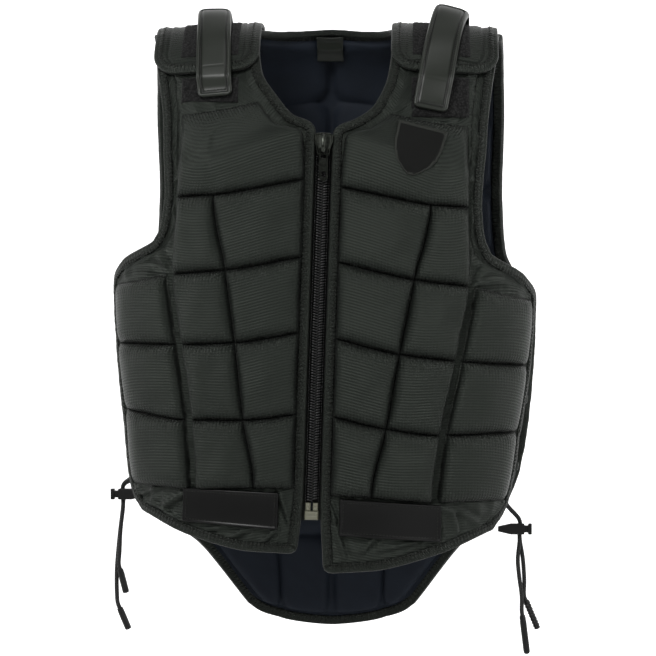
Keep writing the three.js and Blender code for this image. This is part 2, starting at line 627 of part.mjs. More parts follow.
// Bare shield badge on the left chest pad, as rows from its top edge to its point
{
  const outline = table("down half", [
    [0, 1],
    [0.4, 0.97],
    [0.7, 0.78],
    [0.9, 0.42],
    [1, 0.12],
  ]);
  const turned = (across, down) => {
    const [cos, sin] = [Math.cos(BADGE.tilt), Math.sin(BADGE.tilt)];
    return [BADGE.x + across * cos + down * sin, BADGE.z + across * sin - down * cos];
  };
  const grid = outline.map(({ down, half }) =>
    spread(-BADGE.half * half, BADGE.half * half, 4).map((across) => {
      return placeAt(FACES.front, ...turned(across, BADGE.high * (down - 0.5)));
    }),
  );
  add("chest_badge", layOn(panels.left.mesh, grid, BADGE.thick), "tape");
}

// Lining of the back, laid on the panel from inside
const fromInside = ({ p, n }) => ({ p, n: n.clone().negate() });
const liningColumns = spread(-3, 3, 6).flatMap((c) => (Math.abs(c) === 1 ? [c, c * BACK_TURN] : [c]));
const liningRows = BACK_ROWS.flatMap((_, k) => (k === 2 || backCloth.isShoulder(k) ? [k, k + 0.5] : [k]));
const liningGrid = liningRows.map((r) => {
  const row = clamp(r, LINING.lowest, backCloth.top - LINING.highest);
  const edge = 3 - backCloth.share(LINING.edge, 2, row);
  const columns = liningColumns.map((c) => clamp(c, -edge, edge)).sort((a, b) => a - b);
  return columns.map((c) => fromInside(backCloth.place(c, row)));
});
const liningMesh = add("back_lining", layOn(backMesh, liningGrid, LINING.thick), "lining");

// Bare tag inside the back of the neck, laid on the lining from inside
{
  const grid = spread(NECK_TAG.bottom, NECK_TAG.top, 2).map((z) =>
    spread(-NECK_TAG.half, NECK_TAG.half, 2).map((x) => fromInside(placeAt(FACES.back, x, z))),
  );
  add("neck_tag", layOn(liningMesh, grid, NECK_TAG.thick), "tape");
}

// Zip: the chain in the middle, and a tape behind each panel's edge with the same steps as that edge

{
  const strip = (x0, x1, heights) => heights.map((z) => [x0, x1].map((x) => placeAt(FACES.front, x, z)));
  const chain = strip(-ZIP.chainHalf, ZIP.chainHalf, spread(ZIP.bottom, ZIP.top, ZIP.parts));
  add("zip_chain", wall(chain, () => ZIP.chainOut, () => ZIP.chainIn), "coil");
  const front = -(BINDING.half + GAP);
  for (const { name, sign } of SIDES) {
    const edge = panels[name].grid.map((row) => row[0].p.z);
    const heights = [TAPE.bottom, ...edge.filter((z) => z > TAPE.bottom + 4 && z < ZIP.top - 4), ZIP.top];
    const tape = strip(sign * TAPE.inner, sign * TAPE.outer, heights);
    add(`zip_tape_${name}`, wall(tape, () => front, () => TAPE.thick - front), "tape");
  }
}
// Frame of a small part on the zip: x across, y into the vest, z up along the chain
function zipFrame(z) {
  const { p, n } = placeAt(FACES.front, 0, z);
  const inward = n.clone().negate();
  const up = placeAt(FACES.front, 0, z + 1).p.sub(p).projectOnPlane(n).normalize();
  return new THREE.Matrix4().makeBasis(inward.clone().cross(up), inward, up).setPosition(p);
}
const sliderFrame = zipFrame(SLIDER.z);
{
  const low = BINDING.half + GAP + BEND / 2;
  const high = low + SLIDER.plate;
  const half = SLIDER.high / 2;
  const plate = slab(
    [
      [-SLIDER.endHalf, -half],
      [SLIDER.endHalf, -half],
      [SLIDER.topHalf, half - SLIDER.shoulder],
      [SLIDER.topHalf - SLIDER.corner, half],
      [SLIDER.corner - SLIDER.topHalf, half],
      [-SLIDER.topHalf, half - SLIDER.shoulder],
    ],
    -high,
    -low,
  );
  const bossEnd = half - BAIL.slant;
  const { boss: b } = SLIDER;
  const boss = box(-b, b, -low - BAIL.sink, -ZIP.chainOut - GAP, -bossEnd, bossEnd);
  const { leg, inside, out, top, bottom, sink, slant } = BAIL;
  const profile = [
    [high - sink, top],
    [high + out, top - slant],
    [high + out, bottom + slant],
    [high - sink, bottom],
    [high - sink, bottom + leg],
    [high + inside, bottom + leg + slant],
    [high + inside, top - leg - slant],
    [high - sink, top - leg],
  ];
  const bail = slab(profile.map(([away, z]) => [-away, z]), -BAIL.half, BAIL.half).rotateZ(Math.PI / 2);
  add("zip_slider", join(plate, boss, bail).applyMatrix4(sliderFrame), "metal");

  // The pull hangs straight down from its bar, which lies inside the bail
  const pivot = vec(0, -PULL.out, PULL.drop).applyMatrix4(sliderFrame);
  const [w, t] = [PULL.width / 2, PULL.thick / 2];
  const end = t - PULL.long;
  const below = end + PULL.corner;
  const side = w - PULL.corner;
  const tab = [[-w, t], [-w, below], [-side, end], [side, end], [w, below], [w, t]];
  const rect = (across, z0, z1) => [[-across, z0], [across, z0], [across, z1], [-across, z1]];
  const { bar, grip } = PULL_HOLES;
  const holes = [rect(bar.half, -t - bar.long, -t), rect(grip.half, end + grip.low, end + grip.high)];
  add("zip_pull", slab(tab, -t, t, holes).translate(pivot.x, pivot.y, pivot.z), "metal");
}
{
  const middle = (ZIP_BOX.top + ZIP_BOX.bottom) / 2;
  const half = (ZIP_BOX.top - ZIP_BOX.bottom) / 2;
  const block = box(-ZIP_BOX.half, ZIP_BOX.half, -ZIP_BOX.out, ZIP_BOX.inn, -half, half);
  add("zip_box", block.applyMatrix4(zipFrame(middle)), "metal");
}

// Side lacing

// Place on a panel's side edge at a height, with the way up it and the way across to the other panel
function sideEdge(grid, c, z) {
  const edge = edgeLoop(grid).filter((at) => at.c === c).sort((a, b) => a.p.z - b.p.z);
  const k = edge.findIndex((at) => at.p.z > z);
  const [low, high] = [edge[k - 1], edge[k]];
  const t = (z - low.p.z) / (high.p.z - low.p.z);
  const up = high.p.clone().sub(low.p).normalize();
  const out = low.out.clone().lerp(high.out, t).normalize();
  return { p: low.p.clone().lerp(high.p, t), up, out, n: out.clone().cross(up) };
}
function laceLoop({ p, n, up, out }) {
  const reach = BINDING.width + GAP + LOOP.band + LOOP.hole;
  const inward = Math.sign(-n.x * p.x);
  const centre = p.clone().addScaledVector(out, reach).addScaledVector(n, inward * LOOP.tuck);
  const loop = Array.from({ length: LOOP.corners }, (_, k) => {
    const turn = (2 * Math.PI * (k + 0.5)) / LOOP.corners;
    const away = out.clone().multiplyScalar(Math.cos(turn)).addScaledVector(n, Math.sin(turn));
    return { p: centre.clone(), n: up, out: away };
  });
  const wide = 1 / Math.cos(Math.PI / LOOP.corners);
  const [r0, r1] = [LOOP.hole * wide, (LOOP.hole + LOOP.band) * wide];
  const section = [[r0, -LOOP.half], [r1, -LOOP.half], [r1, LOOP.half], [r0, LOOP.half]];
  return { geometry: ring(loop, section), centre, up };
}
for (const { name, sign } of SIDES) {
  const edges = { front: [panels[name].grid, 3], back: [backGrid, 3 * sign] };
  const loops = {};
  for (const [face, [grid, column]] of Object.entries(edges)) {
    loops[face] = LOOP.heights.map((z, k) => {
      const loop = laceLoop(sideEdge(grid, column, z));
      add(`lace_loop_${face}_${name}_${k + 1}`, loop.geometry, "tape");
      return loop;
    });
  }
  // From the lock up through alternate loops, across at the top, and down through the others
  const lock = vec(LOCK_AT[name].x, LOCK.y, LOCK_AT[name].z);
  const through = ({ centre, up }, rising) =>
    [-1, 1].map((way) => centre.clone().addScaledVector(up, way * (rising ? 1 : -1) * LACE.through));
  const crossing = (a, b, shift) => a.centre.clone().lerp(b.centre, 0.5).add(vec(shift * sign, 0, 0));
  const [low, middle, high] = [0, 1, 2].map((k) => ({ front: loops.front[k], back: loops.back[k] }));
  const atLock = (way, z) => lock.clone().add(vec(0, way * STRAND_APART, z));
  const turns = (way) => LOCK_AT[name].turns.map(([x, z]) => atLock(2 * way, z).add(vec(x, 0, 0)));
  const route = [
    atLock(-1, GAP / 2 - LOCK.high),
    atLock(-1, LOCK.high + LACE.straight),
    ...turns(-1),
    ...through(low.front, true),
    crossing(low.front, middle.back, LACE.cross),
    ...through(middle.back, true),
    crossing(middle.back, high.front, LACE.cross),
    ...through(high.front, true),
    ...through(high.back, false),
    crossing(high.back, middle.front, -LACE.cross),
    ...through(middle.front, false),
    crossing(middle.front, low.back, -LACE.cross),
    ...through(low.back, false),
    ...turns(1),
    atLock(1, LOCK.high + LACE.straight),
    atLock(1, GAP / 2 - LOCK.high),
  ];
  add(`side_lace_${name}`, cordThrough(route, LACE.steps), "cord");

  // Cord lock: a tapered barrel with a pocket, and a plunger whose slot the lace also passes
  const atSide = (geometry) => geometry.rotateZ(sign > 0 ? 0 : Math.PI).translate(lock.x, lock.y, lock.z);
  const outline = [
    [LOCK.mouth, -LOCK.high],
    [LOCK.mouth, LOCK.high],
    [LOCK.end, LOCK.high],
    [LOCK.tip, LOCK.tipHigh],
    [LOCK.tip, -LOCK.tipHigh],
    [LOCK.end, -LOCK.high],
  ];
  const inEnd = -PLUNGER.slot - LOCK.wall;
  const pocket = (grow) => [
    [-PLUNGER.half - grow, PLUNGER.half + grow],
    [-PLUNGER.high - grow, PLUNGER.high + grow],
  ];
  const [py, pz] = pocket(GAP);
  const hollow = box(inEnd - PLUNGER.travel - LOCK_PLAY, LOCK.mouth + LOCK_PLAY, ...py, ...pz);
  const slotY = [-PLUNGER.slotHalf, PLUNGER.slotHalf];
  const slotZ = [-2 * LOCK.high, 2 * LOCK.high];
  const hole = box(-PLUNGER.slot, PLUNGER.slot, ...slotY, ...slotZ);
  add(`cord_lock_${name}`, atSide(cut(slab(outline, -LOCK.half, LOCK.half), hollow, hole)), "plastic");
  const [sy, sz] = pocket(0);
  const headIn = LOCK.mouth + PLUNGER.travel + LOCK_PLAY;
  const stem = box(inEnd, headIn + LOCK_PLAY, ...sy, ...sz);
  const head = box(headIn, headIn + PLUNGER.head, -LOCK.half, LOCK.half, -LOCK.high, LOCK.high);
  const slot = box(-PLUNGER.slot, PLUNGER.slot + PLUNGER.travel, ...slotY, ...slotZ);
  add(`lock_plunger_${name}`, atSide(cut(join(stem, head), slot)), "plastic");

  // Free ends with their moulded tips
  for (const [length, { y, route: places, tip }] of Object.entries(ENDS[name])) {
    const at = ([x, z]) => vec(x, LOCK.y + y * STRAND_APART, z);
    const start = atLock(y, -LOCK.high - GAP / 2);
    const from = at(places.at(-1));
    const along = at(tip).sub(from).normalize();
    const before = from.clone().addScaledVector(along, -TIP.straight);
    const way = [start, ...places.slice(0, -1).map(at), before, from];
    add(`cord_end_${name}_${length}`, cordThrough(way, 2 * places.length), "cord");
    const capStart = from.clone().addScaledVector(along, 2 * GAP);
    const cap = [capStart, capStart.clone().lerp(at(tip), 0.5), at(tip)];
    add(`cord_tip_${name}_${length}`, cordThrough(cap, 1, TIP.radius, TIP.sides), "plastic");
  }
}

export default vest;
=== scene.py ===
"""Looks of a quilted riding vest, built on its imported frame.

Every soft piece is drafted in millimetres, on the same cutting pattern as the solids, and turned into metres
where a mesh is made. The front faces -Y, +X is the wearer's left, and the shoulders carry the vest at the
origin.
"""

import logging
import math
from dataclasses import dataclass, field
from enum import Enum
from typing import Callable, Self, Sequence

import bpy
import numpy as np
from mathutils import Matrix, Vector


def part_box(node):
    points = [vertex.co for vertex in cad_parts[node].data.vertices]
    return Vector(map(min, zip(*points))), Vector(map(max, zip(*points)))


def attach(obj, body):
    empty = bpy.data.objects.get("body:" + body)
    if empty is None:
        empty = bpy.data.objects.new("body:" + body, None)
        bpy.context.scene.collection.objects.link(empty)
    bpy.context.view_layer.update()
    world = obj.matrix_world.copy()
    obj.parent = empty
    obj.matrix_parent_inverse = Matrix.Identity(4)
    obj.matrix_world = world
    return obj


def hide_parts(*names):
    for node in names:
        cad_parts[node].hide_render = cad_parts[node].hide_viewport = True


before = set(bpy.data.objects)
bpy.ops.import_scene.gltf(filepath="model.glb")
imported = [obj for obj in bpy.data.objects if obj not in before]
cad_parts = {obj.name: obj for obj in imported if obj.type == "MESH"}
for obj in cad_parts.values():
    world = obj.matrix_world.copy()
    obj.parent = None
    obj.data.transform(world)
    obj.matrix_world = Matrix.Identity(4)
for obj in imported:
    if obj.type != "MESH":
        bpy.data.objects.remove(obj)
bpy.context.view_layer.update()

LOG = logging.getLogger("vest")
MM = 0.001
BODY = "vest"
CREST = math.inf  # a height that stops just short of the line along the shoulder
WAIST_Z = -120.0  # below this height, outward is level
Array = np.ndarray
Pair = tuple[float, float]
Colour = tuple[float, float, float, float]
Piece = bpy.types.Object
Material = bpy.types.Material
Socket = bpy.types.NodeSocket


class Side(Enum):
    """The wearer's sides, with the sign of their x."""

    RIGHT = -1
    LEFT = 1

    @property
    def word(self) -> str:
        """The side as it stands in a node's name."""
        return self.name.lower()


# Numbers


def ease(t: Array) -> Array:
    """Smooth step from 0 to 1 for t from 0 to 1."""
    s = np.clip(t, 0.0, 1.0)
    return s * s * (3 - 2 * s)


def unit(vectors: Array) -> Array:
    """The vectors at length 1."""
    return vectors / np.maximum(np.linalg.norm(vectors, axis=-1, keepdims=True), 1e-9)


def smooth_through(values: Array, t: Array) -> Array:
    """Curve without overshoot through values given at 0, 1, 2 and so on.

    Args:
        values: The values, along the last axis, either one list or one list for each t.
        t: Where the curve is wanted.

    Returns:
        The curve's value at each t.
    """
    values, t = np.asarray(values, float), np.asarray(t, float)
    steps = np.diff(values, axis=-1)
    before, after = steps[..., :-1], steps[..., 1:]
    same = before * after > 0
    bend = np.where(same, 2 * before * after / np.where(same, before + after, 1.0), 0.0)
    slopes = np.concatenate([steps[..., :1], bend, steps[..., -1:]], axis=-1)
    k = np.clip(np.floor(t).astype(int), 0, steps.shape[-1] - 1)
    s = t - k

    def pick(table: Array, index: Array) -> Array:
        """One entry of each list."""
        return table[index] if table.ndim == 1 else np.take_along_axis(table, index[..., None], -1)[..., 0]

    v, m0, m1, d = pick(values, k), pick(slopes, k), pick(slopes, k + 1), pick(steps, k)
    return v + s * (m0 + s * (3 * d - 2 * m0 - m1 + s * (m0 + m1 - 2 * d)))


def along(points: Array, axis: int) -> Array:
    """Length of the way along one axis of a grid of points, from 0."""
    step = np.linalg.norm(np.diff(points, axis=axis), axis=-1)
    return np.concatenate([0 * np.take(step, [0], axis), np.cumsum(step, axis)], axis)


def lay_out(points: Array) -> tuple[Array, Array, Array]:
    """Lengths along the rows and the columns of a grid of points, and the way in from its nearest edge."""
    u, v = along(points, 1), along(points, 0)
    return u, v, np.minimum(np.minimum(u, u[:, -1:] - u), np.minimum(v, v[-1:] - v))


def spaced(parts: int, gather: float = 0.0) -> Array:
    """Parts + 1 places from 0 to 1, drawn towards both ends by gather, from 0 to 1."""
    t = np.linspace(0.0, 1.0, parts + 1)
    return (1 - gather) * t + gather * (0.5 - 0.5 * np.cos(np.pi * t))


def shoulder_profile(distance: Array, width: float, power: float = 2.4) -> Array:
    """Round shoulder of a foam block: 0 on its edge, 1 from width inwards."""
    left = 1 - np.clip(distance / width, 0.0, 1.0)
    return (1 - left**power) ** (1 / power)


def bell(value: Array, at: float, width: float, power: int = 2) -> Array:
    """Bump of 1 at a place, which falls to about a third one width away."""
    return np.exp(-(((value - at) / width) ** power))


@dataclass
class Wander:
    """Seeded smooth noise in the plane, about -1 to 1, that repeats after its number of cells."""

    seed: int
    cells: int = 64

    def __post_init__(self) -> None:
        """Draws the noise's lattice."""
        self.lattice = np.random.default_rng(self.seed).uniform(-1.0, 1.0, (self.cells, self.cells))

    def at(self, u: Array, v: Array) -> Array:
        """Noise at places given in lattice cells.

        Args:
            u: First coordinate.
            v: Second coordinate.

        Returns:
            The noise there.
        """
        u, v = np.broadcast_arrays(np.asarray(u, float), np.asarray(v, float))
        i, j = np.floor(u).astype(int), np.floor(v).astype(int)
        s, t = ease(u - i), ease(v - j)
        n = self.cells
        a, b = self.lattice[i % n, j % n], self.lattice[(i + 1) % n, j % n]
        c, d = self.lattice[i % n, (j + 1) % n], self.lattice[(i + 1) % n, (j + 1) % n]
        return (a * (1 - s) + b * s) * (1 - t) + (c * (1 - s) + d * s) * t


# The form that the cloth follows, as in the solids


@dataclass(frozen=True)
class Face:
    """One face of the form: the sign of its y, its greatest depth, and how it domes and rounds.

    stand lifts its edge at the neck, lean carries it aside below the neck, and shares are its depth down the
    body as shares of the greatest.
    """

    sign: int
    depth: float
    dome: float
    round: float
    stand: float
    lean: float
    shares: tuple[float, ...]


FRONT = Face(-1, 104, 2.2, 2.4, 0, 0.033, (1.0, 1.03, 1.04, 1.02, 0.99, 0.97))
BACK = Face(1, 102, 3.2, 2.6, 11, 0, (1.0, 1.0, 0.94, 0.92, 0.97, 1.04))


@dataclass(frozen=True)
class Form:
    """A dome over the shoulders, then sections that taper below the chest."""

    top: float = 3
    slope: float = 0.05
    neck_half: float = 66
    chest_z: float = -150
    dome_arc: float = 240
    crest_short: float = 9
    step: float = 80
    spans: tuple[float, ...] = (201, 196, 191, 181, 170, 163)
    lean_from: float = -97
    lean_sides: float = 0.4
    middle: float = 110

    def dome_height(self, face: Face, x: Array) -> Array:
        """Height of the dome above the chest line.

        Args:
            face: The face.
            x: Distance from the middle, with its sign.

        Returns:
            The height at x.
        """
        away = np.abs(x) - self.neck_half
        stand = self.top + face.stand * ease(-away / self.neck_half)
        return stand - self.slope * np.maximum(0, away) - self.chest_z

    def bulge(self, face: Face, x: Array, row: Array) -> Array:
        """How far the section at a body row still stands out at x, from 1 in the middle to 0 at the side."""
        span = smooth_through(self.spans, row)
        return (1 - np.minimum(1, np.abs(x) / span) ** face.round) ** (1 / face.round)

    def surface(self, face: Face, x: Array, h: Array) -> Array:
        """Points of the middle surface.

        Args:
            face: The face.
            x: Distance from the middle, with its sign.
            h: Cloth height, which is z up to the chest line and an angle over the dome above it.

        Returns:
            The points, in millimetres.
        """
        x, h = np.broadcast_arrays(np.asarray(x, float), np.asarray(h, float))
        row = np.maximum(0, (self.chest_z - h) / self.step)
        rise = np.sin(np.clip((h - self.chest_z) / self.dome_arc, 0, 1) * np.pi / 2)
        reach = (1 - rise**face.dome) ** (1 / face.dome)
        y = face.sign * face.depth * smooth_through(face.shares, row) * self.bulge(face, x, row) * reach
        share = 1 - (1 - self.lean_sides) * np.minimum(1, np.abs(x) / self.spans[0]) ** 3
        lean = face.lean * np.minimum(0, h - self.lean_from) * share
        return np.stack([x + lean, y, np.minimum(h, self.chest_z) + self.dome_height(face, x) * rise], -1)

    def cloth_height(self, face: Face, x: float, z: float) -> float:
        """Cloth height of a place.

        Args:
            face: The face.
            x: The place's distance from the middle.
            z: Its z, or CREST.

        Returns:
            The height, as surface takes it.
        """
        if z <= self.chest_z:
            return z
        short = self.crest_short / (face.depth * self.bulge(face, x, 0.0))
        crest = (1 - short**face.dome) ** (1 / face.dome)
        rise = crest if z == CREST else np.clip((z - self.chest_z) / self.dome_height(face, x), 0, 1)
        return float(self.chest_z + self.dome_arc * np.arcsin(rise) * 2 / np.pi)

    def patch(self, face: Face, x: Array, z: Array) -> tuple[Array, Array]:
        """Points and outward normals of a face at a grid of x and z."""
        heights = np.vectorize(lambda a, b: self.cloth_height(face, a, b))(x, z)
        return with_normals(lambda a, b: self.surface(face, a, b), x, heights, 0.5)

    def over(self, x: Array, reach: Array) -> Array:
        """Points over the shoulder, from the front to the back.

        Args:
            x: Distance from the middle, with its sign.
            reach: The y that the points have at the middle of the shoulder.

        Returns:
            The points.
        """
        x, reach = np.broadcast_arrays(np.asarray(x, float), np.asarray(reach, float))
        made = np.zeros(x.shape + (3,))
        for face in (FRONT, BACK):
            share = np.minimum(1, np.abs(reach) / (face.depth * self.bulge(face, self.middle, 0.0)))
            rise = (1 - share**face.dome) ** (1 / face.dome)
            y = face.sign * share * face.depth * self.bulge(face, x, 0.0)
            part = np.stack([x, y, self.chest_z + self.dome_height(face, x) * rise], -1)
            made = np.where(((reach < 0) == (face.sign < 0))[..., None], part, made)
        return made

    def shoulder(self, x: Array, reach: Array) -> tuple[Array, Array]:
        """Points and outward normals over the shoulder."""
        return with_normals(self.over, x, reach, 0.6)

    def even_over(self, start: float, end: float, t: Array) -> tuple[Array, Array]:
        """Places at shares of the way over the shoulder.

        Args:
            start: Reach where the way starts.
            end: Reach where it ends.
            t: The shares.

        Returns:
            The reach of each place, and the length left after it.
        """
        fine = np.linspace(start, end, 400)
        way = along(self.over(np.full_like(fine, self.middle), fine), 0)
        return np.interp(t * way[-1], way, fine), way[-1] * (1 - t)


def outward(normals: Array, points: Array) -> Array:
    """Unit normals turned so that they point away from the wearer.

    Args:
        normals: Normals of any length that point in or out.
        points: The points that they stand on.

    Returns:
        The normals.
    """
    away = points.copy()
    away[..., 2] -= np.minimum(points[..., 2], WAIST_Z)
    facing = np.sum(normals * away, axis=-1, keepdims=True)
    return unit(np.where(facing < 0, -normals, normals))


def with_normals(
    surface: Callable[[Array, Array], Array], a: Array, b: Array, step: float
) -> tuple[Array, Array]:
    """Points and outward normals of a surface.

    Args:
        surface: Points of the surface at two coordinates.
        a: First coordinates.
        b: Second coordinates.
        step: Step to either side over which the slopes are taken.

    Returns:
        The points and the normals.
    """
    across = surface(a + step, b) - surface(a - step, b)
    ahead = surface(a, b + step) - surface(a, b - step)
    points = surface(a, b)
    return points, outward(np.cross(across, ahead), points)


FORM = Form()


# Cutting pattern, as in the solids


@dataclass(frozen=True)
class Row:
    """One row of a panel's pattern: x and z where it meets the inner edge, both seams and the outer edge.

    strip is the flat cloth inside the inner edge, hang is how far the left front hangs below the mean, swing
    adds to that outward from the middle, and cup is how late a row of the back turns up before seam1.
    """

    name: str
    inner: Pair
    seam1: Pair
    seam2: Pair
    outer: Pair
    strip: float = 0
    hang: float = 0
    cup: float = 1
    swing: float = 0


@dataclass(frozen=True)
class Pads:
    """A row of foam blocks between two sewn rows, in the spans that are named."""

    low: str
    high: str
    spans: tuple[str, ...]


FRONT_ROWS = (
    Row("hem", (19, -479), (56, -477), (111, -463), (158, -442), 1.5, 9),
    Row("band", (15, -421), (53.5, -422), (110, -425), (170, -422), 1.5, 5.5, swing=2.5),
    Row("low", (15, -351), (64.5, -359.5), (115.5, -362.5), (179.5, -355.5), 1.5, 5.5, swing=5),
    Row("waist", (15, -278.5), (74.5, -290.5), (127, -294.5), (187, -295.5), 1.5, 6, swing=3.8),
    Row("ribs", (15, -209.5), (85.5, -223.5), (137, -229), (190.5, -239), 1.5, 4.5, swing=2.5),
    Row("wing", (15, -199.5), (87.5, -212.5), (137, -218), (181, -222), 1.5, 5, swing=2),
    Row("armpit", (15, -182), (91.5, -196), (135.5, -201), (149, -202), 1.5, 5, swing=1.5),
    Row("arm", (15, -165), (95.5, -177), (134, -180), (140.5, -180), 1.5, 4.5, swing=1),
    Row("breast", (15, -139.5), (98.5, -155), (133, -157), (138, -154), 1.5, 4.5, swing=1),
    Row("zip_top", (15, -95), (100, -128), (133, -132), (139, -130), 5, 2),
    Row("throat", (33, -85), (100, -108), (132, -112), (140.5, -110), 10, 2),
    Row("collar", (49.5, -69.5), (99, -79.5), (132, -83), (141.5, -82.5), 11, 5.5),
    Row("neck", (64.5, -42), (100, -46), (133, -50), (145, -52), 8, 2),
    Row("slope", (68, -16), (101, -19), (134, -23), (149, -26), 6, 0),
    Row("crest", (69, CREST), (102, CREST), (135, CREST), (152, CREST), 6, 0),
)
FRONT_PADS = (
    Pads("band", "low", ("A", "B", "C")),
    Pads("low", "waist", ("A", "B", "C")),
    Pads("waist", "ribs", ("A", "B", "C")),
    Pads("ribs", "breast", ("A", "B")),
    Pads("breast", "collar", ("AB",)),
)
BACK_ROWS = (
    Row("tail", (0, -546), (48, -539), (64, -534), (74, -527), cup=1.6),
    Row("seat", (0, -467), (52, -466), (112, -466), (121, -468)),
    Row("flank", (0, -437), (56, -436), (115, -437), (153, -443)),
    Row("hip", (0, -385), (61, -385), (119, -388), (175.5, -394)),
    Row("waist", (0, -303), (65, -304), (124, -308), (185.5, -315)),
    Row("wing", (0, -240), (67, -242), (126, -245), (188.5, -245)),
    Row("armpit", (0, -221), (68, -223), (126, -226), (165, -218)),
    Row("blade", (0, -209), (68, -212), (125, -214), (158, -200)),
    Row("upper", (0, -132), (69, -137), (124, -143), (154.5, -142)),
    Row("nape", (0, -56), (69, -61), (124, -68), (156.5, -75), cup=1.3),
    Row("yoke", (0, -17), (69, -20), (120, -28), (156, -34), cup=2),
    Row("crest", (0, 3), (69, CREST), (114, CREST), (155, CREST), cup=2.1),
)
BACK_PADS = (
    Pads("tail", "seat", ("A", "B")),
    Pads("seat", "hip", ("A", "B")),
    Pads("hip", "waist", ("A", "B", "C")),
    Pads("waist", "blade", ("A", "B", "C")),
    Pads("blade", "upper", ("A", "B", "C")),
    Pads("upper", "nape", ("A", "B", "C")),
)


@dataclass
class Pattern:
    """A panel's cloth: column c from 0 at the inner edge to 3 at the outer, row r from 0 at the lowest edge.

    A panel that crosses the middle has c below 0 on the wearer's right.
    """

    face: Face
    rows: tuple[Row, ...]
    pads: tuple[Pads, ...]
    side: int = 1
    whole: bool = False
    swing_from: float = 90
    swing_over: float = 85

    def __post_init__(self) -> None:
        """Works out the columns' x and cloth height at every row."""
        columns = ("inner", "seam1", "seam2", "outer")
        places = [[getattr(row, name) for row in self.rows] for name in columns]
        self.x = np.array([[x for x, _ in column] for column in places])
        self.h = np.array([
            [FORM.cloth_height(self.face, x, z - self._hang(row, x)) for (x, z), row in zip(pairs, self.rows)]
            for pairs in places
        ])
        self.top = len(self.rows) - 1

    def _hang(self, row: Row, x: float) -> float:
        """How far a row hangs below the mean at x."""
        return self.side * (row.hang + row.swing * (x - self.swing_from) / self.swing_over)

    def index(self, name: str) -> int:
        """Row number of a named row."""
        return next(k for k, row in enumerate(self.rows) if row.name == name)

    def half_width(self, c: Array, r: Array) -> Array:
        """Distance from the middle at columns c and rows r."""
        x = np.stack([smooth_through(column, r) for column in self.x], -1)
        return smooth_through(x, np.abs(c))

    def point(self, c: Array, r: Array) -> Array:
        """Points of the cloth.

        Args:
            c: Columns.
            r: Rows.

        Returns:
            The points there.
        """
        c, r = np.broadcast_arrays(np.asarray(c, float), np.asarray(r, float))
        h = np.stack([smooth_through(column, r) for column in self.h], -1)
        height = smooth_through(h, np.abs(c))
        if self.whole:
            cup = smooth_through([row.cup for row in self.rows], r)
            cupped = h[..., 0] + (h[..., 1] - h[..., 0]) * np.abs(c) ** cup
            height = np.where(np.abs(c) < 1, cupped, height)
        sign = np.where(c < 0, -1, 1) * self.side
        return FORM.surface(self.face, sign * self.half_width(c, r), height)

    def strip(self, r: Array) -> Array:
        """Flat cloth inside the inner edge, in millimetres."""
        return smooth_through([row.strip for row in self.rows], r)


@dataclass
class Grid:
    """A fine grid of lines over a panel, with the sewn lines among them.

    points and normals are the middle surface, u and v the lengths along rows and columns, and columns and
    rows give the line numbers of the named cuts.
    """

    pattern: Pattern
    points: Array
    normals: Array
    u: Array
    v: Array
    c: Array
    r: Array
    columns: dict[str, int]
    rows: dict[str, int]


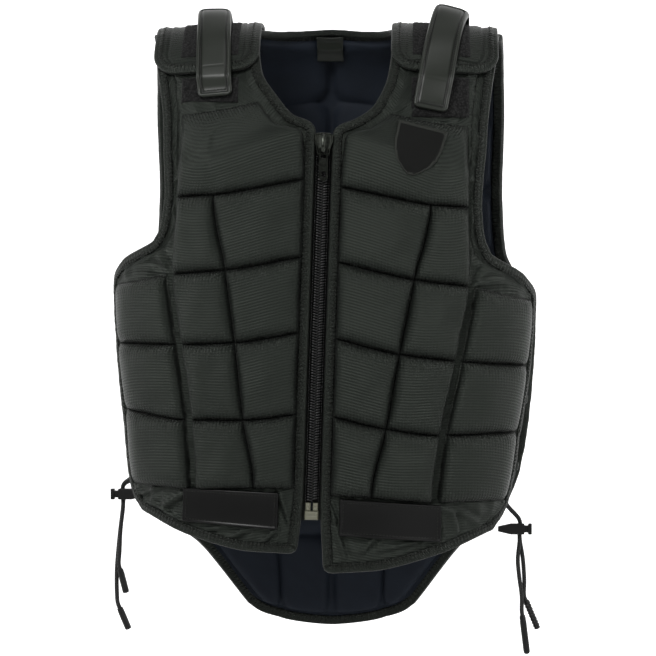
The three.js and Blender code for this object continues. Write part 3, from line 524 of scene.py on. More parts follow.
@dataclass(frozen=True)
class GridMaker:
    """Lays a fine grid of lines over a panel."""

    across: tuple[int, int, int] = (44, 42, 42)
    strip_parts: int = 4
    trough_parts: int = 6
    trough: float = 3.5
    row_step: float = 1.55
    gather: float = 0.55
    gauge_column: float = 1.2

    def lay(self, pattern: Pattern) -> Grid:
        """Grid over a pattern.

        Args:
            pattern: The panel's cloth.

        Returns:
            The grid.
        """
        r, rows = self._row_lines(pattern)
        c, columns = self._back_columns(r) if pattern.whole else self._front_columns(pattern, r)
        points = pattern.point(c, r[:, None])
        normals = outward(np.cross(np.gradient(points, axis=1), np.gradient(points, axis=0)), points)
        u, v = along(points, 1), along(points, 0)
        return Grid(pattern, points, normals, u, v, c, r, columns, rows)

    def _row_lines(self, pattern: Pattern) -> tuple[Array, dict[str, int]]:
        """Row lines, gathered at the sewn rows.

        Args:
            pattern: The panel's cloth.

        Returns:
            The lines, and the line number of each sewn row.
        """
        names = sorted({name for pads in pattern.pads for name in (pads.low, pads.high)}, key=pattern.index)
        cuts = sorted({0, pattern.top, *(pattern.index(name) for name in names)})
        lines, numbers = [np.array([0.0])], {0: 0}
        for low, high in zip(cuts, cuts[1:]):
            fine = np.linspace(low, high, 200)
            way = along(pattern.point(np.full_like(fine, self.gauge_column), fine), 0)
            parts = max(6, 3 * round(way[-1] / self.row_step / 3))
            lines.append(np.interp(spaced(parts, self.gather) * way[-1], way, fine)[1:])
            numbers[high] = numbers[low] + parts
        return np.concatenate(lines), {name: numbers[pattern.index(name)] for name in names}

    def _front_columns(self, pattern: Pattern, r: Array) -> tuple[Array, dict[str, int]]:
        """Column lines of a front.

        Args:
            pattern: The panel's cloth.
            r: The row lines.

        Returns:
            The lines, and the line number of each cut.
        """
        wide = [
            np.linalg.norm(pattern.point(k + 1.0, r) - pattern.point(float(k), r), axis=-1) for k in range(3)
        ]
        strip_end = np.minimum(pattern.strip(r) / wide[0], 0.3)
        trough_low = 2 - np.minimum(self.trough / wide[1], 0.2)
        trough_high = 2 + np.minimum(self.trough / wide[2], 0.12)
        cuts = [np.zeros_like(r), strip_end, np.ones_like(r), trough_low, trough_high, np.full_like(r, 3.0)]
        parts = (self.strip_parts, self.across[0], self.across[1], self.trough_parts, self.across[2])
        return self._between(cuts, parts, ("edge", "a0", "a1", "b1", "c0", "c1"))

    def _back_columns(self, r: Array) -> tuple[Array, dict[str, int]]:
        """Column lines of the back.

        Args:
            r: The row lines.

        Returns:
            The lines, and the line number of each cut.
        """
        cuts = [np.full_like(r, k) for k in range(-3, 4)]
        parts = (*reversed(self.across), *self.across)
        return self._between(cuts, parts, ("rc1", "rb1", "ra1", "a0", "a1", "b1", "c1"))

    def _between(
        self, cuts: Sequence[Array], parts: Sequence[int], names: Sequence[str]
    ) -> tuple[Array, dict[str, int]]:
        """Lines from cut to cut, gathered at the cuts.

        Args:
            cuts: Place of each cut along every row.
            parts: Parts from each cut to the next.
            names: The cuts' names.

        Returns:
            The lines, and the line number of each cut.
        """
        lines, numbers = [cuts[0][:, None]], {names[0]: 0}
        for low, high, many, name, last in zip(cuts, cuts[1:], parts, names[1:], names):
            t = spaced(many, self.gather)[1:]
            lines.append(low[:, None] + (high - low)[:, None] * t)
            numbers[name] = numbers[last] + many
        return np.concatenate(lines, axis=1), numbers


# Meshes


@dataclass
class Draft:
    """Vertices, faces, material numbers and cloth coordinates of a mesh in the making, in millimetres."""

    vertices: list[Array] = field(default_factory=list)
    faces: list[Sequence[int]] = field(default_factory=list)
    slots: list[int] = field(default_factory=list)
    cloth: list[Array] = field(default_factory=list)
    count: int = 0

    def add(self, points: Array, cloth: Array | None = None) -> int:
        """Adds vertices.

        Args:
            points: The points, of any shape that ends in 3.
            cloth: Cloth coordinates of each point in millimetres, or None.

        Returns:
            Number of the first new vertex.
        """
        flat = points.reshape(-1, 3)
        first = self.count
        self.vertices.append(flat)
        self.cloth.append(np.zeros((len(flat), 2)) if cloth is None else cloth.reshape(-1, 2))
        self.count += len(flat)
        return first

    def quads(self, numbers: Array, slot: int = 0, turned: bool = False) -> None:
        """Adds the faces of a grid.

        Args:
            numbers: The grid's vertex numbers.
            slot: Material number.
            turned: Whether the faces look the other way.
        """
        corners = [numbers[:-1, :-1], numbers[:-1, 1:], numbers[1:, 1:], numbers[1:, :-1]]
        if turned:
            corners.reverse()
        made = np.stack([corner.ravel() for corner in corners], -1)
        self.faces.extend(made.tolist())
        self.slots.extend([slot] * len(made))

    def face(self, numbers: Sequence[int], slot: int = 0) -> None:
        """Adds one face."""
        self.faces.append(list(numbers))
        self.slots.append(slot)

    def ring(self, points: Array, cloth: Array | None = None, closed: bool = False, slot: int = 0) -> Self:
        """Adds a tube: rows of points round a section, capped at both ends or closed on itself.

        Args:
            points: Rows of section points.
            cloth: Cloth coordinates of each point, or None.
            closed: Whether the last row joins the first.
            slot: Material number.

        Returns:
            The draft itself.
        """
        rows, many = points.shape[:2]
        first = self.add(points, cloth)
        numbers = first + np.arange(rows * many).reshape(rows, many)
        numbers = np.concatenate([numbers, numbers[:, :1]], axis=1)
        if closed:
            numbers = np.concatenate([numbers, numbers[:1]], axis=0)
        self.quads(numbers, slot)
        if not closed:
            self.face(numbers[0, :-1][::-1].tolist(), slot)
            self.face(numbers[-1, :-1].tolist(), slot)
        return self

    def wall(
        self, outer: Array, inner: Array, cloth: Array, step: int = 1, slot: int = 0, inner_slot: int = 0
    ) -> Self:
        """Adds a closed wall: a fine outer grid, an inner grid of every step-th line, and the rim between.

        Args:
            outer: Outer points.
            inner: Inner points, on the same lines as the outer ones.
            cloth: Cloth coordinates of the outer points.
            step: Lines of the outer grid for each line of the inner one.
            slot: Material number of the outer grid and the rim.
            inner_slot: Material number of the inner grid.

        Returns:
            The draft itself.
        """
        top = self.add(outer, cloth) + np.arange(outer[..., 0].size).reshape(outer.shape[:2])
        self.quads(top, slot)
        coarse = inner[::step, ::step]
        low = self.add(coarse, cloth[::step, ::step])
        low = low + np.arange(coarse[..., 0].size).reshape(coarse.shape[:2])
        self.quads(low, inner_slot, turned=True)
        sides = ((top[0], low[0]), (top[:, -1], low[:, -1]), (top[-1, ::-1], low[-1, ::-1]))
        for fine, plain in (*sides, (top[::-1, 0], low[::-1, 0])):
            for k in range(len(plain) - 1):
                run = fine[k * step : (k + 1) * step + 1]
                self.face([plain[k], plain[k + 1], *run[::-1]], slot)
        return self

    def make(self, name: str, materials: Sequence[Material]) -> Piece:
        """Makes the object, in metres, smooth and facing out.

        Args:
            name: The piece's name.
            materials: Its materials, in the order of the material numbers.

        Returns:
            The new object.
        """
        mesh = bpy.data.meshes.new(name)
        mesh.from_pydata((np.concatenate(self.vertices) * MM).tolist(), [], self.faces)
        mesh.polygons.foreach_set("material_index", self.slots)
        mesh.polygons.foreach_set("use_smooth", [True] * len(self.faces))
        layer = mesh.uv_layers.new(name="cloth")
        corners = np.empty(len(mesh.loops), dtype=np.int32)
        mesh.loops.foreach_get("vertex_index", corners)
        layer.data.foreach_set("uv", (np.concatenate(self.cloth)[corners] * MM).ravel())
        for material in materials:
            mesh.materials.append(material)
        mesh.validate()
        mesh.update()
        if signed_volume(mesh) < 0:
            mesh.flip_normals()
        made = bpy.data.objects.new(name, mesh)
        bpy.context.scene.collection.objects.link(made)
        return made


def signed_volume(mesh: bpy.types.Mesh) -> float:
    """Volume inside a mesh.

    Args:
        mesh: The mesh.

    Returns:
        The volume, below zero where the faces point in.
    """
    mesh.calc_loop_triangles()
    corners = np.empty(len(mesh.loop_triangles) * 3, dtype=np.int32)
    mesh.loop_triangles.foreach_get("vertices", corners)
    points = np.empty(len(mesh.vertices) * 3)
    mesh.vertices.foreach_get("co", points)
    a, b, c = points.reshape(-1, 3)[corners.reshape(-1, 3)].transpose(1, 0, 2)
    return float(np.sum(a * np.cross(b, c)) / 6)


def settle(piece: Piece, slot: str, *nodes: str, body: str = BODY) -> Piece:
    """Rides a piece on its body, hides the solids that it stands for, and reports it with them.

    Args:
        piece: The piece.
        slot: The record's material slot; not used.
        nodes: The solids that it stands for.
        body: The body that it moves with.

    Returns:
        The piece.
    """
    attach(piece, body)
    if nodes:
        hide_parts(*nodes)
    faces = len(piece.data.polygons) if piece.type == "MESH" else 0
    LOG.info("%s: %d faces on %s, for %s", piece.name, faces, body, ", ".join(nodes) or "no solid")
    return piece


def paint(piece: Piece, **fields: Array) -> None:
    """Writes attributes that a piece's finish reads.

    Args:
        piece: The piece.
        fields: Values for its first vertices, by the attribute's name.
    """
    for name, values in fields.items():
        level = np.zeros(len(piece.data.vertices), dtype=np.float32)
        level[: values.size] = values.ravel()
        piece.data.attributes.new(name, "FLOAT", "POINT").data.foreach_set("value", level)


def edge_loop(points: Array, normals: Array, soften: int = 1) -> tuple[Array, Array, Array]:
    """Places once round a grid's edge.

    Args:
        points: The grid's points.
        normals: Its normals.
        soften: Passes that even out the way out of the cloth at the corners.

    Returns:
        Points, normals and directions that leave the cloth there.
    """

    def round_edge(grid: Array) -> Array:
        """The grid's edge as one loop."""
        return np.concatenate([grid[0, :-1], grid[:-1, -1], grid[-1, :0:-1], grid[:0:-1, 0]])

    p, n = round_edge(points), round_edge(normals)
    out = unit(np.cross(np.roll(p, -1, 0) - np.roll(p, 1, 0), n))
    if np.sum(out * (p - p.mean(axis=0))) < 0:
        out = -out
    for _ in range(soften):
        out = unit(np.roll(out, 1, 0) + out + np.roll(out, -1, 0))
    return p, n, out


def carried(p: Array, n: Array, out: Array, section: Array) -> Array:
    """Section, given along out and n, carried along a line of places."""
    return p[:, None] + out[:, None] * section[None, :, :1] + n[:, None] * section[None, :, 1:]


def rounded_section(low: float, high: float, half: float, many: int = 12) -> Array:
    """Boxy round section.

    Args:
        low: Where it starts, along out.
        high: Where it ends.
        half: Half its thickness.
        many: Its number of points.

    Returns:
        Points round the section.
    """
    turn = np.linspace(0, 2 * np.pi, many, endpoint=False)
    a, b = (np.sign(part) * np.abs(part) ** 0.6 for part in (np.cos(turn), np.sin(turn)))
    return np.stack([(low + high) / 2 + (high - low) / 2 * a, half * b], -1)


def catmull_rom(places: Array, parts: int) -> Array:
    """Centripetal curve through places, in even steps.

    Args:
        places: The places on the way.
        parts: Steps of the result.

    Returns:
        Points along the curve.
    """
    places = np.asarray(places, float)
    ends = [2 * places[0] - places[1], *places, 2 * places[-1] - places[-2]]
    fine = []
    for p0, p1, p2, p3 in zip(ends, ends[1:], ends[2:], ends[3:]):
        gaps = [np.linalg.norm(b - a) ** 0.5 for a, b in ((p0, p1), (p1, p2), (p2, p3))]
        k0, k1, k2, k3 = np.concatenate([[0], np.cumsum(gaps)])
        t = np.linspace(k1, k2, 24, endpoint=False)[:, None]

        def blend(a: Array, b: Array, low: float, high: float) -> Array:
            """Point between a and b for knots from low to high."""
            return a + (b - a) * (t - low) / (high - low)

        a1, a2, a3 = blend(p0, p1, k0, k1), blend(p1, p2, k1, k2), blend(p2, p3, k2, k3)
        b1, b2 = blend(a1, a2, k0, k2), blend(a2, a3, k1, k3)
        fine.append(blend(b1, b2, k1, k2))
    fine = np.concatenate([*fine, places[-1:]])
    way = along(fine, 0)
    even = np.linspace(0, way[-1], parts + 1)
    return np.stack([np.interp(even, way, fine[:, k]) for k in range(3)], -1)


def tube(points: Array, radii: Array, sides: int = 12) -> tuple[Array, Array]:
    """Rows of a round tube along a line.

    Args:
        points: The line.
        radii: Radius at each point.
        sides: Points of the section.

    Returns:
        The rows of points, and their cloth coordinates, round and along.
    """
    tangents = unit(np.gradient(points, axis=0))
    normal = unit(np.cross(tangents[0], [0.3, 1.0, 0.1]))
    turn = np.linspace(0, 2 * np.pi, sides, endpoint=False)
    way = along(points, 0)
    rows, cloth = [], []
    for p, t, radius, s in zip(points, tangents, radii, way):
        normal = unit(normal - t * np.dot(normal, t))
        other = np.cross(t, normal)
        rows.append(p + radius * (np.cos(turn)[:, None] * normal + np.sin(turn)[:, None] * other))
        cloth.append(np.stack([turn * radius, np.full(sides, s)], -1))
    return np.stack(rows), np.stack(cloth)


@dataclass(frozen=True)
class Stitching:
    """A row of lockstitches, each shaped by place along, width and height at a few sections."""

    pitch: float = 3.4
    long: float = 2.5
    radius: float = 0.36
    shape: tuple[tuple[float, float, float], ...] = (
        (-0.5, 0.35, 0.3), (-0.25, 1.0, 1.0), (0.25, 1.0, 1.0), (0.5, 0.35, 0.3)
    )

    def sew(
        self, draft: Draft, points: Array, normals: Array, closed: bool = True, slot: int = 1
    ) -> None:
        """Adds the stitches along a line.

        Args:
            draft: The mesh in the making.
            points: The line.
            normals: Outward normals along it.
            closed: Whether the line ends where it starts.
            slot: Material number.
        """
        if closed:
            points, normals = (np.concatenate([a, a[:1]]) for a in (points, normals))
        way = along(points, 0)
        at = np.arange(self.pitch / 2, way[-1] - self.pitch / 2, self.pitch)
        middle, normal = (
            np.stack([np.interp(at, way, a[:, k]) for k in range(3)], -1) for a in (points, normals)
        )
        ahead = unit(np.stack([np.interp(at + 0.5, way, points[:, k]) for k in range(3)], -1) - middle)
        across = unit(np.cross(normal, ahead))
        turn = np.linspace(0, 2 * np.pi, 6, endpoint=False)
        for m, n, a, c in zip(middle, unit(normal), ahead, across):
            circle = np.cos(turn)[:, None] * c + np.sin(turn)[:, None] * n
            rows = [
                m + a * self.long * place + n * (sink - 1) * self.radius + circle * self.radius * wide
                for place, wide, sink in self.shape
            ]
            draft.ring(np.stack(rows), slot=slot)


# Finishes


@dataclass
class NodeBoard:
    """A material's node graph, with the few nodes that the finishes need."""

    name: str

    def __post_init__(self) -> None:
        """Starts a material with one principled shader."""
        self.material = bpy.data.materials.new(self.name)
        self.material.use_nodes = True
        self.tree = self.material.node_tree
        self.tree.nodes.clear()
        self.shader = self.tree.nodes.new("ShaderNodeBsdfPrincipled")
        output = self.tree.nodes.new("ShaderNodeOutputMaterial")
        self.tree.links.new(self.shader.outputs["BSDF"], output.inputs["Surface"])

    def feed(self, node: bpy.types.Node, values: dict[str | int, object]) -> None:
        """Links a node's sockets to others, or sets their values.

        Args:
            node: The node.
            values: What each socket gets, by its number, or by its name with underscores for spaces.
        """
        for key, value in values.items():
            socket = node.inputs[key.replace("_", " ") if isinstance(key, str) else key]
            if isinstance(value, Socket):
                self.tree.links.new(value, socket)
            else:
                socket.default_value = value

    def node(
        self, kind: str, settings: dict[str, str] | None = None, numbered: dict[int, object] | None = None,
        **inputs: object,
    ) -> bpy.types.Node:
        """Adds a node.

        Args:
            kind: The node's type.
            settings: Its properties.
            numbered: Its sockets by number.
            inputs: Its sockets by name, with underscores for spaces.

        Returns:
            The node.
        """
        made = self.tree.nodes.new(kind)
        for key, value in (settings or {}).items():
            setattr(made, key, value)
        self.feed(made, {**(numbered or {}), **inputs})
        return made

    def cloth(self, turn: float = 0.0) -> Socket:
        """Cloth coordinates, turned."""
        source = self.node("ShaderNodeUVMap", {"uv_map": "cloth"}).outputs["UV"]
        return self.node("ShaderNodeMapping", Vector=source, Rotation=(0, 0, turn)).outputs["Vector"]

    def space(self) -> Socket:
        """Object coordinates."""
        return self.node("ShaderNodeTexCoord").outputs["Object"]

    def noise(self, vector: Socket, scale: float, detail: float = 3, rough: float = 0.55) -> Socket:
        """Noise from 0 to 1."""
        sizes = {"Scale": scale, "Detail": detail, "Roughness": rough}
        return self.node("ShaderNodeTexNoise", Vector=vector, **sizes).outputs["Fac"]

    def wave(self, vector: Socket, pitch: float, wander: float = 0.0, axis: str = "Y") -> Socket:
        """Even ribs.

        Args:
            vector: The coordinates.
            pitch: Distance from rib to rib, in metres.
            wander: How far the ribs waver.
            axis: The axis across them.

        Returns:
            Their height, from 0 to 1.
        """
        sizes = {"Scale": math.pi / 10 / pitch, "Detail": 1.5, "Detail_Scale": 0.02 / pitch}
        bands = {"bands_direction": axis}
        return self.node("ShaderNodeTexWave", bands, Vector=vector, Distortion=wander, **sizes).outputs["Fac"]

    def sum(self, kind: str, a: object, b: object) -> Socket:
        """Sum, product or like of two values."""
        return self.node("ShaderNodeMath", {"operation": kind}, {0: a, 1: b}).outputs[0]

    def times(self, a: object, b: object) -> Socket:
        """Product of two values."""
        return self.sum("MULTIPLY", a, b)

    def spread(self, value: Socket, low: float, high: float, span: Pair = (0, 1)) -> Socket:
        """Value taken from a span to low and high."""
        ends = dict(enumerate((*span, low, high), 1))
        return self.node("ShaderNodeMapRange", None, ends, Value=value).outputs[0]

    def mix(self, share: Socket, a: object, b: object) -> Socket:
        """Colour between a and b."""
        return self.node("ShaderNodeMix", {"data_type": "RGBA"}, {0: share, 6: a, 7: b}).outputs[2]

    def attribute(self, name: str) -> Socket:
        """A number that the mesh holds at its vertices."""
        return self.node("ShaderNodeAttribute", {"attribute_name": name}).outputs["Fac"]

    def bump(
        self, height: Socket, depth: float, strength: float = 1.0, below: Socket | None = None
    ) -> Socket:
        """Normal of a relief with a depth in metres, over another relief where one is given."""
        base = {"Height": height} if below is None else {"Height": height, "Normal": below}
        return self.node("ShaderNodeBump", Distance=depth, Strength=strength, **base).outputs["Normal"]

    def finish(self, **inputs: object) -> Material:
        """Sets the shader's sockets and returns the material."""
        self.feed(self.shader, inputs)
        return self.material


def grey(level: float, tint: tuple[float, float, float] = (1, 1, 1)) -> Colour:
    """Colour of a level with a slight tint."""
    return (level * tint[0], level * tint[1], level * tint[2], 1.0)


@dataclass(frozen=True)
class RibbedNylon:
    """Black nylon with fine slanted ribs, gathers beside the seams, painted shade in their troughs and in the
    seam grooves, and a soft grey-green sheen.
    """

    name: str = "ribbed_nylon"
    dark: float = 0.001
    light: float = 0.0165
    tint: tuple[float, float, float] = (0.88, 1.08, 0.91)
    rib: float = 0.0026
    twill: float = 0.0009
    slant: float = 0.26
    gather: float = 0.0029

    def material(self) -> Material:
        """Makes the finish.

        Returns:
            The material.
        """
        board = NodeBoard(self.name)
        ribs = board.wave(board.cloth(turn=self.slant), self.rib, wander=1.2)
        twill = board.wave(board.cloth(turn=-0.8), self.twill, wander=0.4)
        gathers = board.wave(board.cloth(), self.gather, wander=3.5, axis="X")
        near = board.attribute("gather")
        shade = board.noise(board.cloth(), 26, 4)
        weave = board.sum("ADD", board.times(ribs, 0.64), board.times(twill, 0.36))
        tone = board.times(weave, board.spread(shade, 0.65, 1.15))
        colour = board.mix(tone, grey(self.dark, self.tint), grey(self.light, self.tint))
        # painted shade: the colour falls to near black in the troughs of the gathers beside the sewn rows,
        # and along the seam grooves
        gather_shade = board.times(board.sum("SUBTRACT", 1.0, gathers), near)
        painted_shade = board.sum("MAXIMUM", board.times(gather_shade, 0.85), board.attribute("seam"))
        colour = board.mix(painted_shade, colour, grey(0.0012))
        normal = board.bump(weave, 0.0005, 0.8)
        normal = board.bump(board.times(gathers, near), 0.0018, 0.9, normal)
        rough = board.spread(shade, 0.36, 0.5)
        return board.finish(
            Base_Color=colour, Roughness=rough, Normal=normal, Sheen_Weight=0.03, Sheen_Roughness=0.4,
            Specular_IOR_Level=0.24, Specular_Tint=grey(1, (0.9, 1.0, 0.88)),
        )


@dataclass(frozen=True)
class PlainCloth:
    """Woven cloth or tape: a fine weave across, uneven colour, and a little sheen."""

    name: str
    dark: Colour
    light: Colour
    weave: float = 0.0007
    ribs: float = 0.0
    rough: float = 0.72
    sheen: float = 0.01
    relief: float = 0.00018

    def material(self) -> Material:
        """Makes the finish.

        Returns:
            The material.
        """
        board = NodeBoard(self.name)
        across = board.wave(board.cloth(), self.weave, wander=0.5, axis="X")
        up = board.wave(board.cloth(), self.ribs or self.weave, wander=0.5)
        weave = board.times(board.spread(across, 0.55, 1.0), up)
        shade = board.noise(board.cloth(), 60, 5)
        tone = board.times(board.spread(weave, 0.35, 1.0), board.spread(shade, 0.5, 1.25))
        normal = board.bump(weave, self.relief, 0.7)
        normal = board.bump(shade, 0.0006, 0.25, normal)
        return board.finish(
            Base_Color=board.mix(tone, self.dark, self.light), Roughness=self.rough, Normal=normal,
            Sheen_Weight=self.sheen, Sheen_Roughness=0.45, Specular_IOR_Level=0.12,
        )


@dataclass(frozen=True)
class HookAndLoop:
    """Matt pile of fine loops."""

    dark: Colour = grey(0.001)
    light: Colour = grey(0.026)

    def material(self) -> Material:
        """Makes the finish.

        Returns:
            The material.
        """
        board = NodeBoard("hook_and_loop")
        loops = board.node("ShaderNodeTexVoronoi", Vector=board.space(), Scale=520.0).outputs["Distance"]
        tufts = board.noise(board.space(), 190, 4, 0.7)
        pile = board.times(board.spread(loops, 1.0, 0.1, (0, 0.7)), board.spread(tufts, 0.2, 1.2))
        normal = board.bump(pile, 0.0008, 1.0)
        return board.finish(
            Base_Color=board.mix(pile, self.dark, self.light), Roughness=0.95, Normal=normal,
            Sheen_Weight=0.04, Sheen_Roughness=0.6, Specular_IOR_Level=0.12,
        )


@dataclass(frozen=True)
class Moulded:
    """Moulded rubber or plastic: a fine grain, faint scuffs, painted shade in its grooves and a soft shine.
    """

    name: str
    colour: Colour
    scuff: Colour
    rough: Pair = (0.34, 0.5)
    grain: float = 0.00006
    shine: float = 0.4

    def material(self) -> Material:
        """Makes the finish.

        Returns:
            The material.
        """
        board = NodeBoard(self.name)
        grain = board.noise(board.space(), 1400, 2)
        cloud = board.noise(board.space(), 70, 5, 0.65)
        scuffs = board.spread(board.noise(board.space(), 320, 6, 0.75), 0.0, 1.0, (0.58, 0.8))
        colour = board.mix(board.times(scuffs, 0.6), self.colour, self.scuff)
        # painted shade: near black in the grooves that the mesh marks
        colour = board.mix(board.attribute("seam"), colour, grey(0.0006))
        return board.finish(
            Base_Color=colour, Roughness=board.spread(cloud, *self.rough),
            Normal=board.bump(grain, self.grain, 0.6), Specular_IOR_Level=self.shine,
        )


@dataclass(frozen=True)
class WornMetal:
    """Plated metal with worn, uneven grey."""

    name: str
    dark: Colour
    light: Colour
    rough: Pair = (0.22, 0.45)

    def material(self) -> Material:
        """Makes the finish.

        Returns:
            The material.
        """
        board = NodeBoard(self.name)
        wear = board.noise(board.space(), 420, 6, 0.7)
        fine = board.noise(board.space(), 2600, 2)
        colour = board.mix(board.spread(wear, 0, 1, (0.35, 0.65)), self.dark, self.light)
        rough = board.spread(wear, *self.rough)
        return board.finish(
            Base_Color=colour, Metallic=1.0, Roughness=rough, Normal=board.bump(fine, 0.00003, 0.5)
        )


@dataclass(frozen=True)
class BraidedCord:
    """Round braid: strands that cross both ways."""

    strand: float = 0.0021
    dark: Colour = grey(0.002)
    light: Colour = grey(0.014)

    def material(self) -> Material:
        """Makes the finish.

        Returns:
            The material.
        """
        board = NodeBoard("braided_cord")
        ways = [board.wave(board.cloth(turn=turn), self.strand) for turn in (0.7, -0.7)]
        braid = board.sum("MAXIMUM", *ways)
        normal = board.bump(braid, 0.0004, 0.9)
        colour = board.mix(board.sum("POWER", braid, 2.0), self.dark, self.light)
        return board.finish(Base_Color=colour, Roughness=0.6, Normal=normal, Specular_IOR_Level=0.3)


class Wardrobe:
    """Every finish of the vest, made once."""

    def __init__(self) -> None:
        """Makes the materials."""
        navy = (0.74, 1.0, 1.5)
        olive = (0.92, 1.0, 0.86)
        self.nylon = RibbedNylon().material()
        self.lining = PlainCloth("lining_cloth", grey(0.005, navy), grey(0.021, navy), rough=0.55).material()
        self.tape = RibbedNylon("binding_tape", light=0.0105, rib=0.0019, slant=1.1, gather=0.0036).material()
        self.thread = PlainCloth(
            "sewing_thread", grey(0.006, olive), grey(0.034, olive), 0.0005, rough=0.45
        ).material()
        self.badge = PlainCloth("badge_cloth", grey(0.001), grey(0.006, olive), rough=0.6).material()
        self.fuzz = HookAndLoop().material()
        self.rubber = Moulded(
            "moulded_rubber", grey(0.018, (0.86, 1.0, 0.8)), grey(0.024, olive), (0.32, 0.44), shine=0.26
        ).material()
        # painted shade: a darker copy of the nylon for the flaps, which face up into the light
        self.flap = RibbedNylon("flap_nylon", light=0.0115).material()
        self.label = Moulded(
            "label_rubber", grey(0.0012, olive), grey(0.004), (0.26, 0.4), shine=0.2
        ).material()
        self.plastic = Moulded("black_plastic", grey(0.002), grey(0.008), (0.3, 0.45), shine=0.3).material()
        self.coil = Moulded(
            "zip_coil", grey(0.0006, olive), grey(0.002, olive), (0.14, 0.24), shine=0.35
        ).material()
        # the webbing under the coils, near black as painted shade between the coils
        self.void = PlainCloth("zip_web", grey(0.0003), grey(0.001), rough=0.9, sheen=0).material()
        self.metal = WornMetal("grey_metal", grey(0.012, olive), grey(0.08, olive), (0.28, 0.5)).material()
        self.dark_metal = WornMetal(
            "dark_metal", grey(0.007, olive), grey(0.036, olive), (0.28, 0.5)
        ).material()
        self.pale = Moulded(
            "pale_box", grey(0.12, (1.0, 1.0, 0.72)), grey(0.05, olive), (0.35, 0.55)
        ).material()
        self.cord = BraidedCord().material()


# Sub-assemblies


@dataclass(frozen=True)
class EdgeTape:
    """Folded tape round an edge: flat faces, a round fold at both ends, and a sunk, stitched sewing line.

    low and high are where it starts and ends on the way out of the cloth, half and tip its half thickness
    there, and line the place of its sewing line. wide is the cloth round it, sunk how deep the stitches lie,
    and loose where the part that wavers begins.
    """

    low: float
    high: float
    half: float
    tip: float
    line: float
    wide: float
    sunk: float
    loose: float
    stitches: Stitching
    fold: float = 3.4

    def section(self) -> Array:
        """Works out the tape's section.

        Returns:
            Points round the section.
        """
        share = spaced(14, 0.3)
        a = self.low + (self.high - self.low) * share
        inside = np.minimum(a - self.low, self.high - a) + 0.1
        b = (self.half + (self.tip - self.half) * share) * shoulder_profile(inside, 1.7)
        sunk = 0.5 * bell(a, self.line, 0.7) + 0.4 * bell(a - self.line, self.fold, 0.6)
        return np.concatenate([np.stack([a, b - sunk], -1)[::-1], np.stack([a, -b], -1)[1:-1]])

    def bind(
        self, finishes: Wardrobe, name: str, node: str, edge: tuple[Array, Array, Array], wave: Array
    ) -> None:
        """Makes the tape with its stitching.

        Args:
            finishes: The finishes.
            name: Name of the piece.
            node: The solid that it stands for.
            edge: Places once round the edge, as edge_loop gives them.
            wave: How far the tape wavers at each.
        """
        p, n, out = edge
        section = self.section()
        loose = section[None, :, :1] > self.loose
        rows = carried(p, n, out, section) + (n * wave[:, None])[:, None] * loose
        round_it = np.linspace(0, self.wide, len(section))[None, :]
        cloth = np.stack(np.broadcast_arrays(along(p, 0)[:, None], round_it), -1)
        draft = Draft().ring(rows, cloth, closed=True)
        self.stitches.sew(draft, p + out * self.line + n * (self.half - self.sunk + wave)[:, None], n)
        piece = draft.make(name, [finishes.tape, finishes.thread])
        # painted shade: dark along the sunk sewing line and in the groove at the fold; the gather mask places
        # the gathers and the painted shade in their troughs
        near = section[:, 0] - self.line
        seam = 0.75 * bell(near, 0, 0.6) + 0.55 * bell(near, self.fold, 0.5)
        gather = 0.75 * np.exp(-np.maximum(near, 0) / 2.5)
        paint(piece, seam=np.tile(seam, len(p)), gather=np.tile(gather, len(p)))
        settle(piece, "tape", node)


PANEL_TAPE = EdgeTape(-1.8, 7.4, 3.9, 3.0, 0.8, wide=22, sunk=0.3, loose=0.0, stitches=Stitching(radius=0.45))
FLAP_TAPE = EdgeTape(
    -4.6, 4.6, 3.7, 2.0, -3.0, wide=16, sunk=0.5, loose=-5.0, stitches=Stitching(3.0, 2.2, 0.42)
)


@dataclass(frozen=True)
class Crease:
    """A fold in flat cloth between two places given as column and row, with its width and depth."""

    start: Pair
    end: Pair
    width: float
    depth: float


HEM_CREASES = {
    Side.RIGHT: (
        Crease((2.56, 0.30), (2.07, 1.00), 3.2, 3.0),
        Crease((2.90, 0.60), (2.55, 0.98), 2.6, 2.2),
        Crease((1.80, 0.02), (1.50, 0.22), 2.4, 2.2),
        Crease((1.40, 0.02), (1.02, 0.26), 2.4, 2.4),
        Crease((0.72, 0.03), (0.36, 0.30), 2.4, 2.4),
        Crease((0.40, 0.97), (0.08, 0.40), 3.0, 2.6),
        Crease((2.30, 0.10), (2.75, 0.30), 2.6, 1.8),
    ),
    Side.LEFT: (
        Crease((0.02, 0.86), (0.16, 0.66), 2.4, 2.0),
        Crease((1.06, 0.38), (0.82, 0.18), 2.4, 2.4),
        Crease((1.70, 0.22), (1.15, 0.18), 2.2, 2.0),
        Crease((2.00, 0.99), (2.26, 0.76), 3.0, 2.8),
        Crease((2.26, 0.76), (2.34, 0.24), 3.2, 3.0),
        Crease((2.17, 0.97), (2.66, 0.38), 3.2, 2.8),
        Crease((0.20, 0.50), (0.34, 0.12), 2.6, 2.0),
    ),
}
WING_CREASES = (
    Crease((2.05, 4.2), (2.6, 5.6), 3.5, 2.0),
    Crease((2.1, 4.25), (2.95, 4.55), 3.0, 1.6),
    Crease((2.15, 4.8), (2.9, 5.4), 3.5, 1.5),
)


